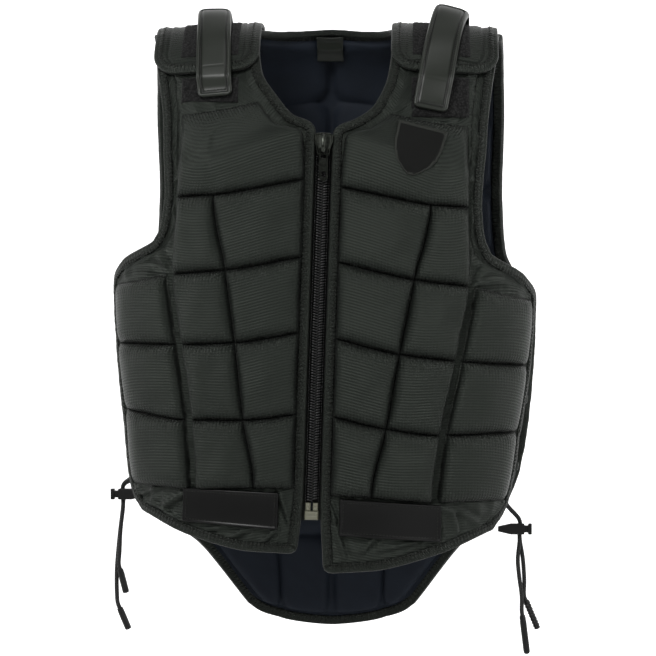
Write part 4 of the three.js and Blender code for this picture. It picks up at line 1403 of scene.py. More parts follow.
@dataclass
class PaddedPanel:
    """A panel of foam blocks between sewn channels, as one closed wall, with a tape bound round its edge."""

    finishes: Wardrobe
    name: str
    pattern: Pattern
    creases: tuple[Crease, ...] = ()
    seed: int = 1
    maker: GridMaker = GridMaker()
    outer: float = 2.0
    inner: float = 2.5
    rise: float = 8.8
    crown: float = 1.6
    block_edge: float = 8.0
    channel_edge: float = 10.0
    side_edge: float = 24.0
    chest_edge: float = 34.0
    gather_reach: float = 5.6
    inner_step: int = 3
    tape: EdgeTape = PANEL_TAPE
    side_strip: float = 7.0
    arm_strip: float = 8.0

    def __post_init__(self) -> None:
        """Lays the grid and works out the heights of the cloth over it."""
        self.grid = self.maker.lay(self.pattern)
        self.wander = Wander(self.seed)
        self.blocks = self._blocks()
        self.height, self.gather, self.seam = self._relief()
        self.moved = np.zeros_like(self.grid.points)

    def _spans(self) -> dict[str, list[tuple[int, int]]]:
        """Finds where each span of pads begins and ends.

        Returns:
            The line numbers, by the span's name.
        """
        at = self.grid.columns
        if self.pattern.whole:
            return {
                "A": [(at["ra1"], at["a0"]), (at["a0"], at["a1"])],
                "B": [(at["rb1"], at["ra1"]), (at["a1"], at["b1"])],
                "C": [(at["rc1"], at["rb1"]), (at["b1"], at["c1"])],
            }
        return {
            "A": [(at["a0"], at["a1"])],
            "B": [(at["a1"], at["b1"])],
            "C": [(at["c0"], at["c1"])],
            "AB": [(at["a0"], at["b1"])],
        }

    def _blocks(self) -> list[tuple[slice, slice]]:
        """Finds the grid lines that each foam block takes up.

        Returns:
            Rows and columns, block by block.
        """
        spans = self._spans()
        return [
            (slice(self.grid.rows[pads.low], self.grid.rows[pads.high] + 1), slice(j0, j1 + 1))
            for pads in self.pattern.pads
            for name in pads.spans
            for j0, j1 in spans[name]
        ]

    def _relief(self) -> tuple[Array, Array, Array]:
        """Works out the relief of the cloth.

        Returns:
            Its height over the middle surface, how near it is to gathers, and the painted shade along its
            seams and channel edges.
        """
        grid = self.grid
        height = np.full(grid.u.shape, self.outer)
        gather, seam = np.zeros_like(height), np.zeros_like(height)
        last = height.shape[1]
        for number, (rows, columns) in enumerate(self.blocks):
            u, v = grid.u[rows, columns], grid.v[rows, columns]
            du = np.minimum(u - u[:, :1], u[:, -1:] - u)
            dv_low, dv_high = v - v[:1], v[-1:] - v
            half_u, half_v = du.max(axis=1, keepdims=True), (v[-1:] - v[:1]) / 2
            chest = rows.stop - 1 == max(grid.rows.values())
            top = (self.chest_edge, 1.6) if chest else (self.channel_edge,)
            body = shoulder_profile(dv_low, self.channel_edge) * shoulder_profile(dv_high, *top)
            strip = np.zeros_like(u)
            for way, outer in ((u - u[:, :1], columns.start == 0), (u[:, -1:] - u, columns.stop == last)):
                if outer and (columns.start or self.pattern.whole):
                    strip = np.maximum(strip, np.exp(-np.abs(way - self.side_strip) / 1.1))
                    body = body * shoulder_profile(np.maximum(way - self.side_strip, 0), self.side_edge, 1.8)
                else:
                    body = body * shoulder_profile(way, self.block_edge)
            dome = (1 - (1 - du / half_u) ** 2) * (1 - (1 - np.minimum(dv_low, dv_high) / half_v) ** 2)
            slack = 0.45 * self.wander.at(u / 17 + 9.1 * number, v / 21) * body
            pucker = self.wander.at(u / 4.2 + 5.3 * number, v / 16)
            near = np.exp(-dv_high / self.gather_reach) + 0.6 * np.exp(-dv_low / self.gather_reach)
            fold = (0.25 if chest else 0.7) * pucker * near * np.minimum(1, np.minimum(dv_low, dv_high) / 1.5)
            height[rows, columns] += self.rise * body + self.crown * dome + slack + fold * ease(du / 4)
            strength = np.clip(near, 0, 1) * ease(du / 3)
            gather[rows, columns] = np.maximum(gather[rows, columns], strength)
            # painted shade: darkest on the channel lines and the block edges, and along the flat side strips
            groove = np.maximum(np.exp(-du / 1.3), np.exp(-np.minimum(dv_low, dv_high) / 2.0))
            seam[rows, columns] = np.maximum(seam[rows, columns], np.maximum(groove, 0.8 * strip))
        folds, sewn = self._folds()
        return height + folds, gather, np.maximum(seam, sewn)

    def _folds(self) -> tuple[Array, Array]:
        """Works out the cloth that no foam block fills.

        Returns:
            Its creases and slack, and the painted shade along the sewn lines at its edges.
        """
        grid = self.grid
        u, v = grid.u, grid.v
        free = np.ones_like(u)
        for rows, columns in self.blocks:
            free[rows, columns] = 0
        side = np.minimum(u, u[:, -1:] - u)
        inset = np.minimum(side, np.minimum(v, v[-1:] - v))
        fold = 0.8 * self.wander.at(u / 9, v / 13 + 3) + 0.4 * self.wander.at(u / 4, v / 5)
        fold = fold + 1.5 * (1 - np.abs(self.wander.at(u / 19 + 7, v / 15 + u / 40))) ** 5
        fold = fold + 1.3 * self.wander.at(v / 3.4 + 31, side / 12) * np.exp(-side / 9)
        fold = fold + 0.8 * self.wander.at(u / 4.5 + 13, v / 12) * np.exp(-v / 9)
        strip = bell(side, self.arm_strip, 1.0) * (np.abs(grid.c) > 2)
        for crease in self.creases:
            ends = [self._place(*place) for place in (crease.start, crease.end)]
            way = ends[1] - ends[0]
            here = np.stack([u, v], -1) - ends[0]
            t = np.clip(here @ way / (way @ way), 0, 1)
            apart = np.linalg.norm(here - t[..., None] * way, axis=-1)
            apart = np.copysign(apart, here[..., 1] * way[0] - here[..., 0] * way[1]) / crease.width
            ridge = bell(apart, 0, 1) - 0.75 * bell(apart, 1.5, 0.8)
            fold = fold + crease.depth * ridge * np.sqrt(np.sin(np.pi * (0.1 + 0.8 * t)))
        # painted shade along the tape's sewing line and the arm strip's line, where no block lies
        sewn = np.maximum(0.8 * bell(inset, -self.tape.low, 1.0), 0.7 * strip * free)
        return free * ease(inset / 3) * (fold - 0.9 * strip), sewn

    def _place(self, c: float, r: float) -> Array:
        """Lengths along row and column at a column and a row."""
        i = np.abs(self.grid.r - r).argmin()
        return np.array([way[i, np.abs(self.grid.c[i] - c).argmin()] for way in (self.grid.u, self.grid.v)])

    def surface(self) -> Array:
        """Points of the outer cloth."""
        return self.grid.points + self.grid.normals * self.height[..., None] + self.moved

    def build(self, node: str) -> None:
        """Makes the padded wall.

        Args:
            node: The solid that it stands for.
        """
        cloth = np.stack([self.grid.u, self.grid.v], -1)
        inner = self.grid.points - self.grid.normals * self.inner
        draft = Draft().wall(self.surface(), inner, cloth, self.inner_step, inner_slot=1)
        piece = draft.make(self.name, [self.finishes.nylon, self.finishes.lining])
        # painted shade: the gather and seam masks darken the nylon in the gathers and along the seams
        paint(piece, gather=self.gather, seam=self.seam)
        settle(piece, "nylon", node)

    def bind(self, name: str, node: str) -> None:
        """Makes the tape round the edge.

        Args:
            name: Name of the piece.
            node: The solid that it stands for.
        """
        edge = edge_loop(self.grid.points, self.grid.normals)
        way = along(edge[0], 0)
        wave = 0.4 * self.wander.at(way / 7, 11.5) + 0.4 * self.wander.at(way / 23, 4.5)
        self.tape.bind(self.finishes, name, node, edge, wave + 0.25 * self.wander.at(way / 2.6, 8.5))


@dataclass(frozen=True)
class ClothPuff:
    """Cloth simulation that lets the panels' covers swell and pucker between their sewn lines."""

    step: int = 3
    frames: int = 20
    pressure: float = 4.0
    slack: float = 0.018
    hold: float = 0.2
    cap: float = 1.6

    def run(self, panels: Sequence[PaddedPanel]) -> None:
        """Simulates every panel's cover and keeps how far it moved.

        Args:
            panels: The panels, whose moved field is set.
        """
        scene = bpy.context.scene
        covers = [self._cover(panel) for panel in panels]
        for number in range(1, self.frames + 1):
            scene.frame_set(number)
        graph = bpy.context.evaluated_depsgraph_get()
        for panel, (cover, start) in zip(panels, covers):
            mesh = cover.evaluated_get(graph).to_mesh()
            flat = np.empty(len(mesh.vertices) * 3)
            mesh.vertices.foreach_get("co", flat)
            moved = flat.reshape(start.shape) / MM - start
            far = np.linalg.norm(moved, axis=-1, keepdims=True)
            moved *= np.minimum(1, self.cap / np.maximum(far, 1e-6))
            LOG.info("cover of %s: moved %.2f mm at most", panel.name, float(far.max()))
            panel.moved = self._refine(self._calm(moved), panel.grid.u.shape)
        scene.frame_set(1)
        for cover, _ in covers:
            bpy.data.objects.remove(cover, do_unlink=True)

    def _cover(self, panel: PaddedPanel) -> tuple[Piece, Array]:
        """Makes a panel's cover as a coarse cloth that its sewn lines pin.

        Args:
            panel: The panel.

        Returns:
            The cover, and its points at the start.
        """
        points = panel.surface()[:: self.step, :: self.step]
        draft = Draft()
        draft.quads(draft.add(points) + np.arange(points[..., 0].size).reshape(points.shape[:2]))
        cover = draft.make(f"{panel.name}_cover", [])
        lifted = (panel.height - panel.outer)[:: self.step, :: self.step] / panel.rise
        pinned = np.where(lifted < 0.3, 1.0, self.hold).ravel()
        group = cover.vertex_groups.new(name="sewn")
        for level in (1.0, self.hold):
            group.add(np.flatnonzero(pinned == level).tolist(), level, "REPLACE")
        cloth = cover.modifiers.new("cloth", "CLOTH")
        settings = cloth.settings
        settings.quality, settings.mass = 5, 0.12
        settings.tension_stiffness = settings.compression_stiffness = 18
        settings.bending_stiffness = 2.0
        settings.vertex_group_mass, settings.pin_stiffness = "sewn", 1.0
        settings.shrink_min = -self.slack
        settings.use_pressure, settings.uniform_pressure_force = True, self.pressure
        settings.effector_weights.gravity = 0
        cloth.collision_settings.use_collision = False
        cloth.point_cache.frame_start, cloth.point_cache.frame_end = 1, self.frames
        return cover, points

    def _calm(self, moved: Array) -> Array:
        """Takes the flutter of single threads out of a movement.

        Args:
            moved: The movement of each point.

        Returns:
            The calmer movement.
        """
        for axis in (0, 1, 0, 1):
            padded = np.concatenate([np.take(moved, [0], axis), moved, np.take(moved, [-1], axis)], axis)
            many = moved.shape[axis]
            moved = sum(
                share * np.take(padded, range(k, k + many), axis) for k, share in enumerate((0.25, 0.5, 0.25))
            )
        return moved

    def _refine(self, moved: Array, shape: tuple[int, int]) -> Array:
        """Takes a movement of the coarse cloth to the fine grid.

        Args:
            moved: The movement of each point.
            shape: Rows and columns of the fine grid.

        Returns:
            The movement of each fine point.
        """
        for axis, many in enumerate(shape):
            places = np.arange(many) / self.step
            low = np.clip(np.floor(places).astype(int), 0, moved.shape[axis] - 2)
            share = ease(places - low).reshape([-1 if k == axis else 1 for k in range(3)])
            first, second = np.take(moved, low, axis), np.take(moved, low + 1, axis)
            moved = first + (second - first) * share
        return moved


@dataclass
class Lining:
    """Quilted lining of the back, and the bare tag at the neck."""

    panel: PaddedPanel
    step: int = 2
    start: float = 3.0
    thick: float = 1.0
    swell: float = 6.5
    centre: float = 3.0
    edge: int = 4
    round: float = 16.0
    tag_half: float = 13.5
    tag_top: float = 7
    tag_bottom: float = -13
    tag_thick: float = 0.9
    tag_lift: float = 6.4
    tag_fold: float = 5.4

    def build(self) -> None:
        """Makes the lining and works out its flat size."""
        grid = self.panel.grid
        keep = (slice(self.edge, -self.edge, self.step), slice(self.edge, -self.edge, self.step))
        lift = np.zeros_like(grid.u)
        middle = grid.columns["a0"]
        collar = slice(grid.rows["nape"], len(grid.r) - 6)
        halves = (slice(grid.columns["ra1"], middle + 1), slice(middle, grid.columns["a1"] + 1))
        for rows, columns in (*self.panel.blocks, *((collar, half) for half in halves)):
            u, v = grid.u[rows, columns], grid.v[rows, columns]
            inset = [self.centre if end == middle else 0 for end in (columns.start, columns.stop - 1)]
            du = np.minimum(u - u[:, :1] - inset[0], u[:, -1:] - u - inset[1])
            dv = np.minimum(v - v[:1], v[-1:] - v)
            corner = np.hypot(np.maximum(self.round - np.maximum(du, 0), 0), np.maximum(self.round - dv, 0))
            lift[rows, columns] = shoulder_profile(np.maximum(self.round - corner, 0), 12)
        lift = lift * self.swell + 0.35 * self.panel.wander.at(grid.u / 15 + 40, grid.v / 15)
        points, normals = grid.points[keep], grid.normals[keep]
        away = self.start + np.maximum(lift[keep], 0)
        inner = points - normals * (away + self.thick)[..., None]
        cloth = np.stack([grid.u, grid.v], -1)[keep]
        draft = Draft().wall(inner, points - normals * (self.start - 0.2), cloth)
        piece = draft.make("quilted_lining", [self.panel.finishes.lining])
        rows, columns = np.gradient(points, axis=0), np.gradient(points, axis=1)
        area = float(np.linalg.norm(np.cross(rows, columns), axis=-1).sum()) * MM * MM
        settle(piece, "lining", "back_lining")

    def tag(self) -> None:
        """Makes the folded tag at the back of the neck."""
        heights = np.linspace(self.tag_bottom, self.tag_top, 19)
        x, z = np.meshgrid(np.linspace(-1, 1, 25) * self.tag_half, heights)
        points, normals = FORM.patch(BACK, x, z)
        down = (self.tag_top - z) / (self.tag_top - self.tag_bottom)
        lift = self.tag_lift + self.tag_fold * ease(down / 0.4) + 0.25 * np.cos(x / 6)
        outer = points - normals * (lift + self.tag_thick)[..., None]
        draft = Draft().wall(outer, points - normals * lift[..., None], np.stack([x, z], -1))
        settle(draft.make("folded_neck_tag", [self.panel.finishes.rubber]), "tape", "neck_tag")


@dataclass
class ShoulderTab:
    """One shoulder: the bound flap, hook-and-loop on it and below it, and the moulded strap over both."""

    finishes: Wardrobe
    side: Side
    strap_top: float
    strap_end: float
    strap_end_z: float
    patch_z: float
    inner: float = 64.5
    outer: float = 152.5
    back: float = -34
    front: float = 66
    lift: float = 6.2
    half: float = 2.0
    corner: float = 18
    puff: float = 0.9
    hem_line: float = 9.2
    flat_x: float = 105
    flat_half: float = 26
    patch_inner: float = 79
    patch_outer: float = 131
    patch_top: float = -44
    pile_back: float = 18
    pile_front: float = -59.5
    pile_thick: float = 1.2
    strap_back: float = 30
    strap_corner: float = 5
    strap_half: float = 15.5
    strap_thick: float = 1.5
    welt: float = 3.6
    welt_rise: float = 0.9
    strap_fold: float = 3.0
    pressed_line: float = 27
    slack: float = 12.5
    tilt: float = 0.0

    def flap(self) -> None:
        """Makes the flap and the tape bound round it."""
        word = self.side.word
        reach, left = FORM.even_over(-self.back, -self.front, spaced(84, 0.3))
        into = np.maximum(0, self.corner - left)
        inset = self.corner - np.sqrt(self.corner**2 - into**2)
        share = spaced(66, 0.3)
        x = (self.inner + inset)[:, None] + (self.outer - self.inner - 2 * inset)[:, None] * share
        points, normals = FORM.shoulder(self.side.value * x, np.broadcast_to(reach[:, None], x.shape))
        u, v, inside = lay_out(points)
        wander = Wander(40 + self.side.value)
        beside_strap = 1 - ease((self.flat_half - np.abs(x - self.flat_x)) / 4 + 1)
        waves = 1.5 * wander.at(u / 8, v / 30) + 0.8 * wander.at(u / 4.5, v / 14)
        waves = beside_strap * bell(reach[:, None], 6, 20) * waves
        line = bell(inside, self.hem_line, 0.9)
        puff = self.puff * shoulder_profile(inside, 9)
        face = self.half + puff + (waves * 0.8 - 0.9 * line) * ease(inside / 4)
        base = points + normals * self.lift
        outer, under = base + normals * face[..., None], base - normals * self.half
        draft = Draft().wall(outer, under, np.stack([u, v], -1), 2, inner_slot=1)
        piece = draft.make(f"bound_flap_{word}", [self.finishes.flap, self.finishes.lining])
        # painted shade in the stitched hem line and along the tape's edge
        paint(piece, seam=np.maximum(0.9 * line, 0.8 * bell(inside, 4.6, 1.0)))
        settle(piece, "nylon", f"shoulder_flap_{word}")
        edge = edge_loop(base, normals, 4)
        wave = 0.3 * Wander(50 + self.side.value).at(along(edge[0], 0) / 6, 2.5)
        FLAP_TAPE.bind(self.finishes, f"flap_tape_{word}", f"flap_binding_{word}", edge, wave)

    def patches(self, panel: PaddedPanel) -> None:
        """Makes the hook-and-loop on the flap and on the panel below it.

        Args:
            panel: The panel.
        """
        reach, _ = FORM.even_over(self.pile_back, self.pile_front, spaced(60))
        x = np.linspace(self.patch_inner, self.patch_outer, 45)[None, :] * self.side.value
        base = self.lift + self.half + self.puff - 0.2
        self._pile("flap", FORM.shoulder(*np.broadcast_arrays(x, reach[:, None])), base, base + 1.1)
        z = np.linspace(self.patch_z, self.patch_top, 31)[:, None]
        self._pile("front", FORM.patch(FRONT, *np.broadcast_arrays(x, z)), 2.0, panel.outer + 1.9)

    def _pile(self, carrier: str, surface: tuple[Array, Array], low: float, high: float) -> None:
        """Makes one patch of pile.

        Args:
            carrier: What it is sewn to, as in its name.
            surface: Points and normals below it.
            low: Height over them where it starts.
            high: Height where it ends.
        """
        points, normals = surface
        u, v, inside = lay_out(points)
        ragged = 0.35 * Wander(60).at(u / 1.7, v / 1.7) * ease(inside / 2)
        face = low + (high - low) * shoulder_profile(inside + 0.2, 1.6) + ragged
        outer, under = points + normals * face[..., None], points + normals * low
        draft = Draft().wall(outer, under, np.stack([u, v], -1), 2)
        piece = draft.make(f"{carrier}_pile_{self.side.word}", [self.finishes.fuzz])
        settle(piece, "fuzz", f"{carrier}_patch_{self.side.word}")

    def strap(self) -> None:
        """Makes the strap tab: slack over the shoulder, a raised welt all round, and a stitched end."""
        sign = self.side.value
        place, _ = FORM.patch(FRONT, np.array(sign * self.strap_end), np.array(self.strap_end_z))
        end = place[1] * FORM.bulge(FRONT, FORM.middle, 0.0) / FORM.bulge(FRONT, self.strap_end, 0.0)
        table, _ = FORM.even_over(self.strap_back + 12, end - 10, np.linspace(0, 1, 400))
        length = along(FORM.over(np.full_like(table, sign * self.strap_top), table), 0)
        stops = (self.strap_back, self.strap_fold, end)
        first, top, last = (float(np.interp(-at, -table, length)) for at in stops)
        down = np.clip((length - top) / (last - top), 0, 1.2)
        middle = self.strap_top + (self.strap_end - self.strap_top) * down
        slope = (self.strap_end - self.strap_top) / (last - top)
        share = spaced(44, 0.4) * 2 - 1
        long = first + (last - first) * spaced(150, 0.25)
        from_end = np.minimum(long - first, last - long)
        corner = np.maximum(0, self.strap_corner - from_end)
        cut = self.strap_corner - np.sqrt(np.maximum(0, self.strap_corner**2 - corner**2))
        half = self.strap_half - cut
        across = half[:, None] * share[None, :]
        lean = slope * ease((long - top) / 8 + 0.7)[:, None]
        x = np.interp(long, length, middle)[:, None] + across / np.hypot(1, lean)
        reach = np.interp(long[:, None] - lean * across / np.hypot(1, lean), length, table)
        on_flap = self.lift + self.half + self.pile_thick + self.strap_thick + 1.0
        on_patch = 3 + self.pile_thick + self.strap_thick + 1.2
        flap_end = -self.front - 5.6
        bend = np.exp(-(((reach - 4) / np.where(reach > 4, 13, 25)) ** 2))
        slack = bend * (self.slack - 3.4 * np.abs(share) ** 5 + self.tilt * across)
        lift = on_patch + (on_flap - on_patch) * ease((reach - end - 2) / (flap_end - end - 2)) + slack
        points, normals = FORM.shoulder(sign * x, reach)
        points = points + normals * lift[..., None]
        from_top = np.where(long > top, long - top, 99.0)
        edge = np.minimum(half[:, None] - np.abs(across), from_end[:, None])
        inside = np.minimum(edge, from_top[:, None])
        rim = bell(inside, self.welt * 0.5, self.welt * 0.38, 4)
        groove = bell(inside - self.welt, 0.6, 0.7)
        pressed = bell((last - long)[:, None], self.pressed_line, 0.6) * (inside > self.welt + 1.6)
        body = self.strap_thick * shoulder_profile(edge + 0.25, 1.4)
        face = body + self.welt_rise * rim - 0.8 * groove - 0.3 * pressed
        cloth = np.stack(np.broadcast_arrays(across, long[:, None]), -1)
        outer, under = points + normals * face[..., None], points - normals * body[..., None]
        draft = Draft().wall(outer, under, cloth, 2)
        sewn = (slice(8, -8), slice(6, -6))
        p, n, _ = edge_loop(points[sewn] + normals[sewn] * (face[sewn] + 0.05)[..., None], normals[sewn])
        Stitching(3.2, 2.3, 0.3).sew(draft, p, n)
        piece = draft.make(f"strap_tab_{self.side.word}", [self.finishes.rubber, self.finishes.thread])
        # painted shade in the groove inside the welt
        paint(piece, seam=0.9 * groove)
        settle(piece, "rubber", f"shoulder_strap_{self.side.word}")


@dataclass
class FrontZip:
    """Coil zip: interlocked teeth, slider with its bail, pull and bottom box.

    slider_shape is the slider's half width from its lower end up, and box_parts are the ends in x and z, and
    the rise, of the box and its two prongs.
    """

    finishes: Wardrobe
    top: float = -97
    bottom: float = -430
    pitch: float = 2.45
    reach: float = 5.3
    tooth: float = 0.95
    out: float = 1.6
    band_half: float = 6.8
    stitch_x: float = 5.9
    slider_z: float = -105
    slider_half: float = 10.5
    slider_shape: tuple[Pair, ...] = ((-10.5, 6.1), (-6, 6.6), (3.5, 9.0), (8.5, 8.6), (10.5, 6.2))
    bail_half: float = 8.2
    bail_foot: float = 5.4
    bail_rise: float = 5.4
    box_z: float = -438.5
    box_parts: tuple[tuple[float, ...], ...] = (
        (-6.2, 6.2, -8, 0, 3.9), (-5.7, -1.0, 0.1, 7.5, 2.9), (1.0, 5.7, 0.1, 7.5, 2.9)
    )

    def teeth(self) -> None:
        """Makes both rows of coils, the stitches that hold them, and the band between them."""
        draft = Draft()
        heights = np.arange(self.bottom + 1, self.top - 1, self.pitch)
        share = np.linspace(0, 1, 7)
        rise = self.out + 0.7 * np.sin(np.pi * np.clip(share * 1.1, 0, 1))
        radii = self.tooth * np.array([0.55, 0.9, 1, 1, 1, 0.95, 0.6])
        for sign in (-1, 1):
            for z in heights + (self.pitch / 2 if sign > 0 else 0):
                x = sign * (self.reach * (1 - share) - 0.9 * share)
                points, normals = FORM.patch(FRONT, x, z + 1.5 * (1 - share))
                draft.ring(*tube(points + normals * rise[:, None], radii, 7))
        z = np.linspace(self.bottom, self.top, 120)
        points, normals = FORM.patch(FRONT, *np.meshgrid(np.linspace(-self.band_half, self.band_half, 9), z))
        flat = np.zeros(points.shape[:2] + (2,))
        # the band under the coils, near black as painted shade between them
        draft.wall(points + normals * 0.7, points - normals * 0.6, flat, slot=1, inner_slot=1)
        for x in (-self.stitch_x, self.stitch_x):
            points, normals = FORM.patch(FRONT, np.full_like(z, x), z)
            Stitching(self.pitch, 2.0, 0.5).sew(draft, points + normals * 1.1, normals, closed=False, slot=0)
        settle(draft.make("coil_chain", [self.finishes.coil, self.finishes.void]), "coil", "zip_chain")

    def frame_at(self, z: float) -> tuple[Array, Array, Array, Array]:
        """Finds where a small part lies on the zip.

        Args:
            z: The part's height.

        Returns:
            A point, and the directions across, out and up.
        """
        points, normals = FORM.patch(FRONT, np.zeros(2), np.array([z, z + 1.0]))
        out = normals[0]
        up = points[1] - points[0]
        up = unit(up - out * np.dot(up, out))
        return points[0], unit(np.cross(up, out)), out, up

    def slider(self) -> None:
        """Makes the slider: a waisted body with flanged edges, and the arched bail."""
        at, across, out, up = self.frame_at(self.slider_z)
        z = np.linspace(-self.slider_half, self.slider_half, 43)
        half = np.interp(z, *zip(*self.slider_shape))
        half = half - 2.2 * np.clip(np.abs(z) - 9.2, 0, 2) ** 2 * 0.3
        share = spaced(26, 0.3) * 2 - 1
        x = half[:, None] * share[None, :]
        inside = np.minimum(half[:, None] - np.abs(x), (self.slider_half - np.abs(z))[:, None])
        flange = 0.7 * bell(inside, 1.0, 0.75, 4)
        face = 3.9 + 1.5 * shoulder_profile(inside + 0.1, 1.3) + flange + 0.5 * bell(x, 0, 2.6, 4)
        base = at + across * x[..., None] + up * np.broadcast_to(z[:, None, None], x.shape + (1,))
        draft = Draft().wall(base + out * face[..., None], base + out * 3.8, np.zeros(x.shape + (2,)))
        settle(draft.make("slider_body", [self.finishes.dark_metal]), "metal", "zip_slider")
        turn = np.linspace(0, np.pi, 25)
        rise = self.bail_foot + self.bail_rise * np.sin(turn) ** 0.6
        line = at + up * (self.bail_half * np.cos(turn))[:, None] + out * rise[:, None]
        side = np.broadcast_to(across, line.shape)
        out_of_it = np.cross(unit(np.gradient(line, axis=0)), side)
        draft = Draft().ring(carried(line, side, out_of_it, rounded_section(-0.8, 0.8, 1.9)))
        settle(draft.make("slider_bail", [self.finishes.metal]), "metal")

    def box(self) -> None:
        """Makes the bottom box with a ridge across it, and the two prongs that stand in it."""
        at, across, out, up = self.frame_at(self.box_z)
        draft = Draft()
        for left, right, low, high, rise in self.box_parts:
            x, z = np.meshgrid(left + (right - left) * spaced(24, 0.4), low + (high - low) * spaced(18, 0.4))
            inside = np.minimum(np.minimum(x - left, right - x), np.minimum(z - low, high - z))
            sunk = 0.5 * bell(z, (low + high) / 2, 0.8) * (inside > 1.2)
            face = 0.6 + (rise - 0.6) * shoulder_profile(inside + 0.1, 1.5) - sunk
            base = at + across * x[..., None] + up * z[..., None]
            draft.wall(base + out * face[..., None], base - out * 2.8, np.stack([x, z], -1))
        settle(draft.make("bottom_box", [self.finishes.pale]), "metal", "zip_box")

    def dress(self) -> None:
        """Gives the pull and the tapes their finish, and the pull soft edges."""
        dress_node("zip_pull", self.finishes.dark_metal, 0.35)
        for side in Side:
            dress_node(f"zip_tape_{side.word}", self.finishes.tape, 0.0)


def dress_node(node: str, material: Material, bevel: float) -> None:
    """Gives a solid that stays its finish, and rounds its edges.

    Args:
        node: The solid's node.
        material: The finish.
        bevel: Width of the rounded edges in millimetres, or 0.
    """
    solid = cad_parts[node]
    solid.data.materials.clear()
    solid.data.materials.append(material)
    if bevel:
        weld = solid.modifiers.new("weld", "WELD")
        weld.merge_threshold = 1e-5
        edge = solid.modifiers.new("edge", "BEVEL")
        edge.width, edge.segments, edge.limit_method = bevel * MM, 3, "ANGLE"
        edge.angle_limit, edge.harden_normals = math.radians(35), False
    LOG.info("%s: dressed in %s", node, material.name)


@dataclass(frozen=True)
class LabelLay:
    """Where a hem label lies: x of its inner and outer ends, and z of its top and bottom edge there."""

    ends: Pair
    tops: Pair
    bottoms: Pair


LABEL_LAYS = {
    Side.RIGHT: LabelLay((30, 118), (-421.5, -417), (-455.5, -448)),
    Side.LEFT: LabelLay((25, 115), (-427, -433), (-461, -467)),
}


@dataclass
class SewnPatches:
    """Bare hem labels and the bare shield badge on the left chest."""

    finishes: Wardrobe
    label_low: float = 3.0
    label_lift: float = 4.6
    badge_x: float = 83
    badge_z: float = -112
    badge_half: float = 22
    badge_high: float = 44
    badge_tilt: float = -0.24
    badge_rim: float = 2.4
    badge_shape: tuple[Pair, ...] = ((0, 1), (0.4, 0.97), (0.6, 0.88), (0.75, 0.72), (0.9, 0.42), (1, 0.12))

    def label(self, side: Side) -> None:
        """Makes one hem label: a curved rubber plate with a raised rim.

        Args:
            side: The front that it is sewn to.
        """
        lay = LABEL_LAYS[side]
        share, rise = np.linspace(0, 1, 101)[None, :], np.linspace(0, 1, 41)[:, None]
        x, top, bottom = (a + (b - a) * share for a, b in (lay.ends, lay.tops, lay.bottoms))
        flat_x, flat_z = np.broadcast_arrays(side.value * x, bottom + (top - bottom) * rise)
        points, normals = FORM.patch(FRONT, flat_x, flat_z)
        u, v, inside = lay_out(points)
        rim = 0.9 * bell(inside, 1.3, 0.9, 4)
        bow = 0.5 * np.sin(u / 26) + 0.3 * np.cos(v / 9)
        face = self.label_lift + 1.2 * shoulder_profile(inside + 0.2, 1.2) + rim + bow
        outer, under = points + normals * face[..., None], points + normals * self.label_low
        draft = Draft().wall(outer, under, np.stack([u, v], -1), 4)
        sewn = (slice(4, -4), slice(4, -4))
        p, n, _ = edge_loop(points[sewn] + normals[sewn] * (face[sewn] + 0.1)[..., None], normals[sewn])
        Stitching(3.0, 2.2, 0.38).sew(draft, p, n)
        piece = draft.make(f"plain_label_{side.word}", [self.finishes.label, self.finishes.thread])
        # painted shade in the groove inside the raised rim
        paint(piece, seam=0.9 * bell(inside, 3.2, 0.7))
        settle(piece, "rubber", f"hem_label_{side.word}")

    def badge(self, panel: PaddedPanel) -> None:
        """Makes the shield badge with a thick overlocked edge.

        Args:
            panel: The panel whose chest pad it lies on.
        """
        down = spaced(40, 0.3)
        half = self.badge_half * np.interp(down, *zip(*self.badge_shape))
        across = half[:, None] * np.linspace(-1, 1, 41)
        fall = np.broadcast_to((self.badge_high * (down - 0.5))[:, None], across.shape)
        cos, sin = math.cos(self.badge_tilt), math.sin(self.badge_tilt)
        x, z = self.badge_x + across * cos + fall * sin, self.badge_z + across * sin - fall * cos
        points, normals = FORM.patch(FRONT, x, z)
        height = self._height_under(panel, points)
        u, v, inside = lay_out(points)
        rim = 0.7 * bell(inside, 1.2, 1.0, 4)
        face = height + 0.5 + 0.9 * shoulder_profile(inside + 0.15, 1.2) + rim
        outer, under = points + normals * face[..., None], points + normals * (height - 0.8)
        draft = Draft().wall(outer, under, np.stack([u, v], -1))
        on_rim = (inside[:-1, :-1] + inside[1:, 1:]) / 2 < self.badge_rim
        draft.slots[: on_rim.size] = on_rim.ravel().astype(int).tolist()
        settle(draft.make("plain_badge", [self.finishes.badge, self.finishes.thread]), "tape", "chest_badge")

    def _height_under(self, panel: PaddedPanel, points: Array) -> float:
        """Greatest height of a panel's cloth near some points."""
        near = np.linalg.norm(panel.grid.points - points.reshape(-1, 3).mean(axis=0), axis=-1) < 30
        return float(np.quantile(panel.height[near], 0.97))


@dataclass(frozen=True)
class CordEnd:
    """A free cord end: places on its way down as x and z, the far end of its tip, and whether it is ridged.

    y_way tells which of the two strands at the lock it goes on from.
    """

    length: str
    y_way: int
    route: tuple[Pair, ...]
    tip: Pair
    ridged: bool = False


CORD_ENDS = {
    Side.RIGHT: (
        CordEnd("short", -1, ((-190, -437), (-192.5, -460), (-193.4, -480), (-192.5, -497)), (-187, -518)),
        CordEnd(
            "long", 1, ((-190.4, -437), (-194, -469), (-196.2, -497), (-196, -520), (-193, -533)),
            (-185, -552),
        ),
    ),
    Side.LEFT: (
        CordEnd(
            "long", -1, ((178, -469), (176.4, -486), (177.8, -503), (180, -520), (180.8, -540)), (185, -574)
        ),
        CordEnd("short", 1, ((178.4, -469), (181, -485), (182.4, -506), (184.6, -526)), (195, -551), True),
    ),
}


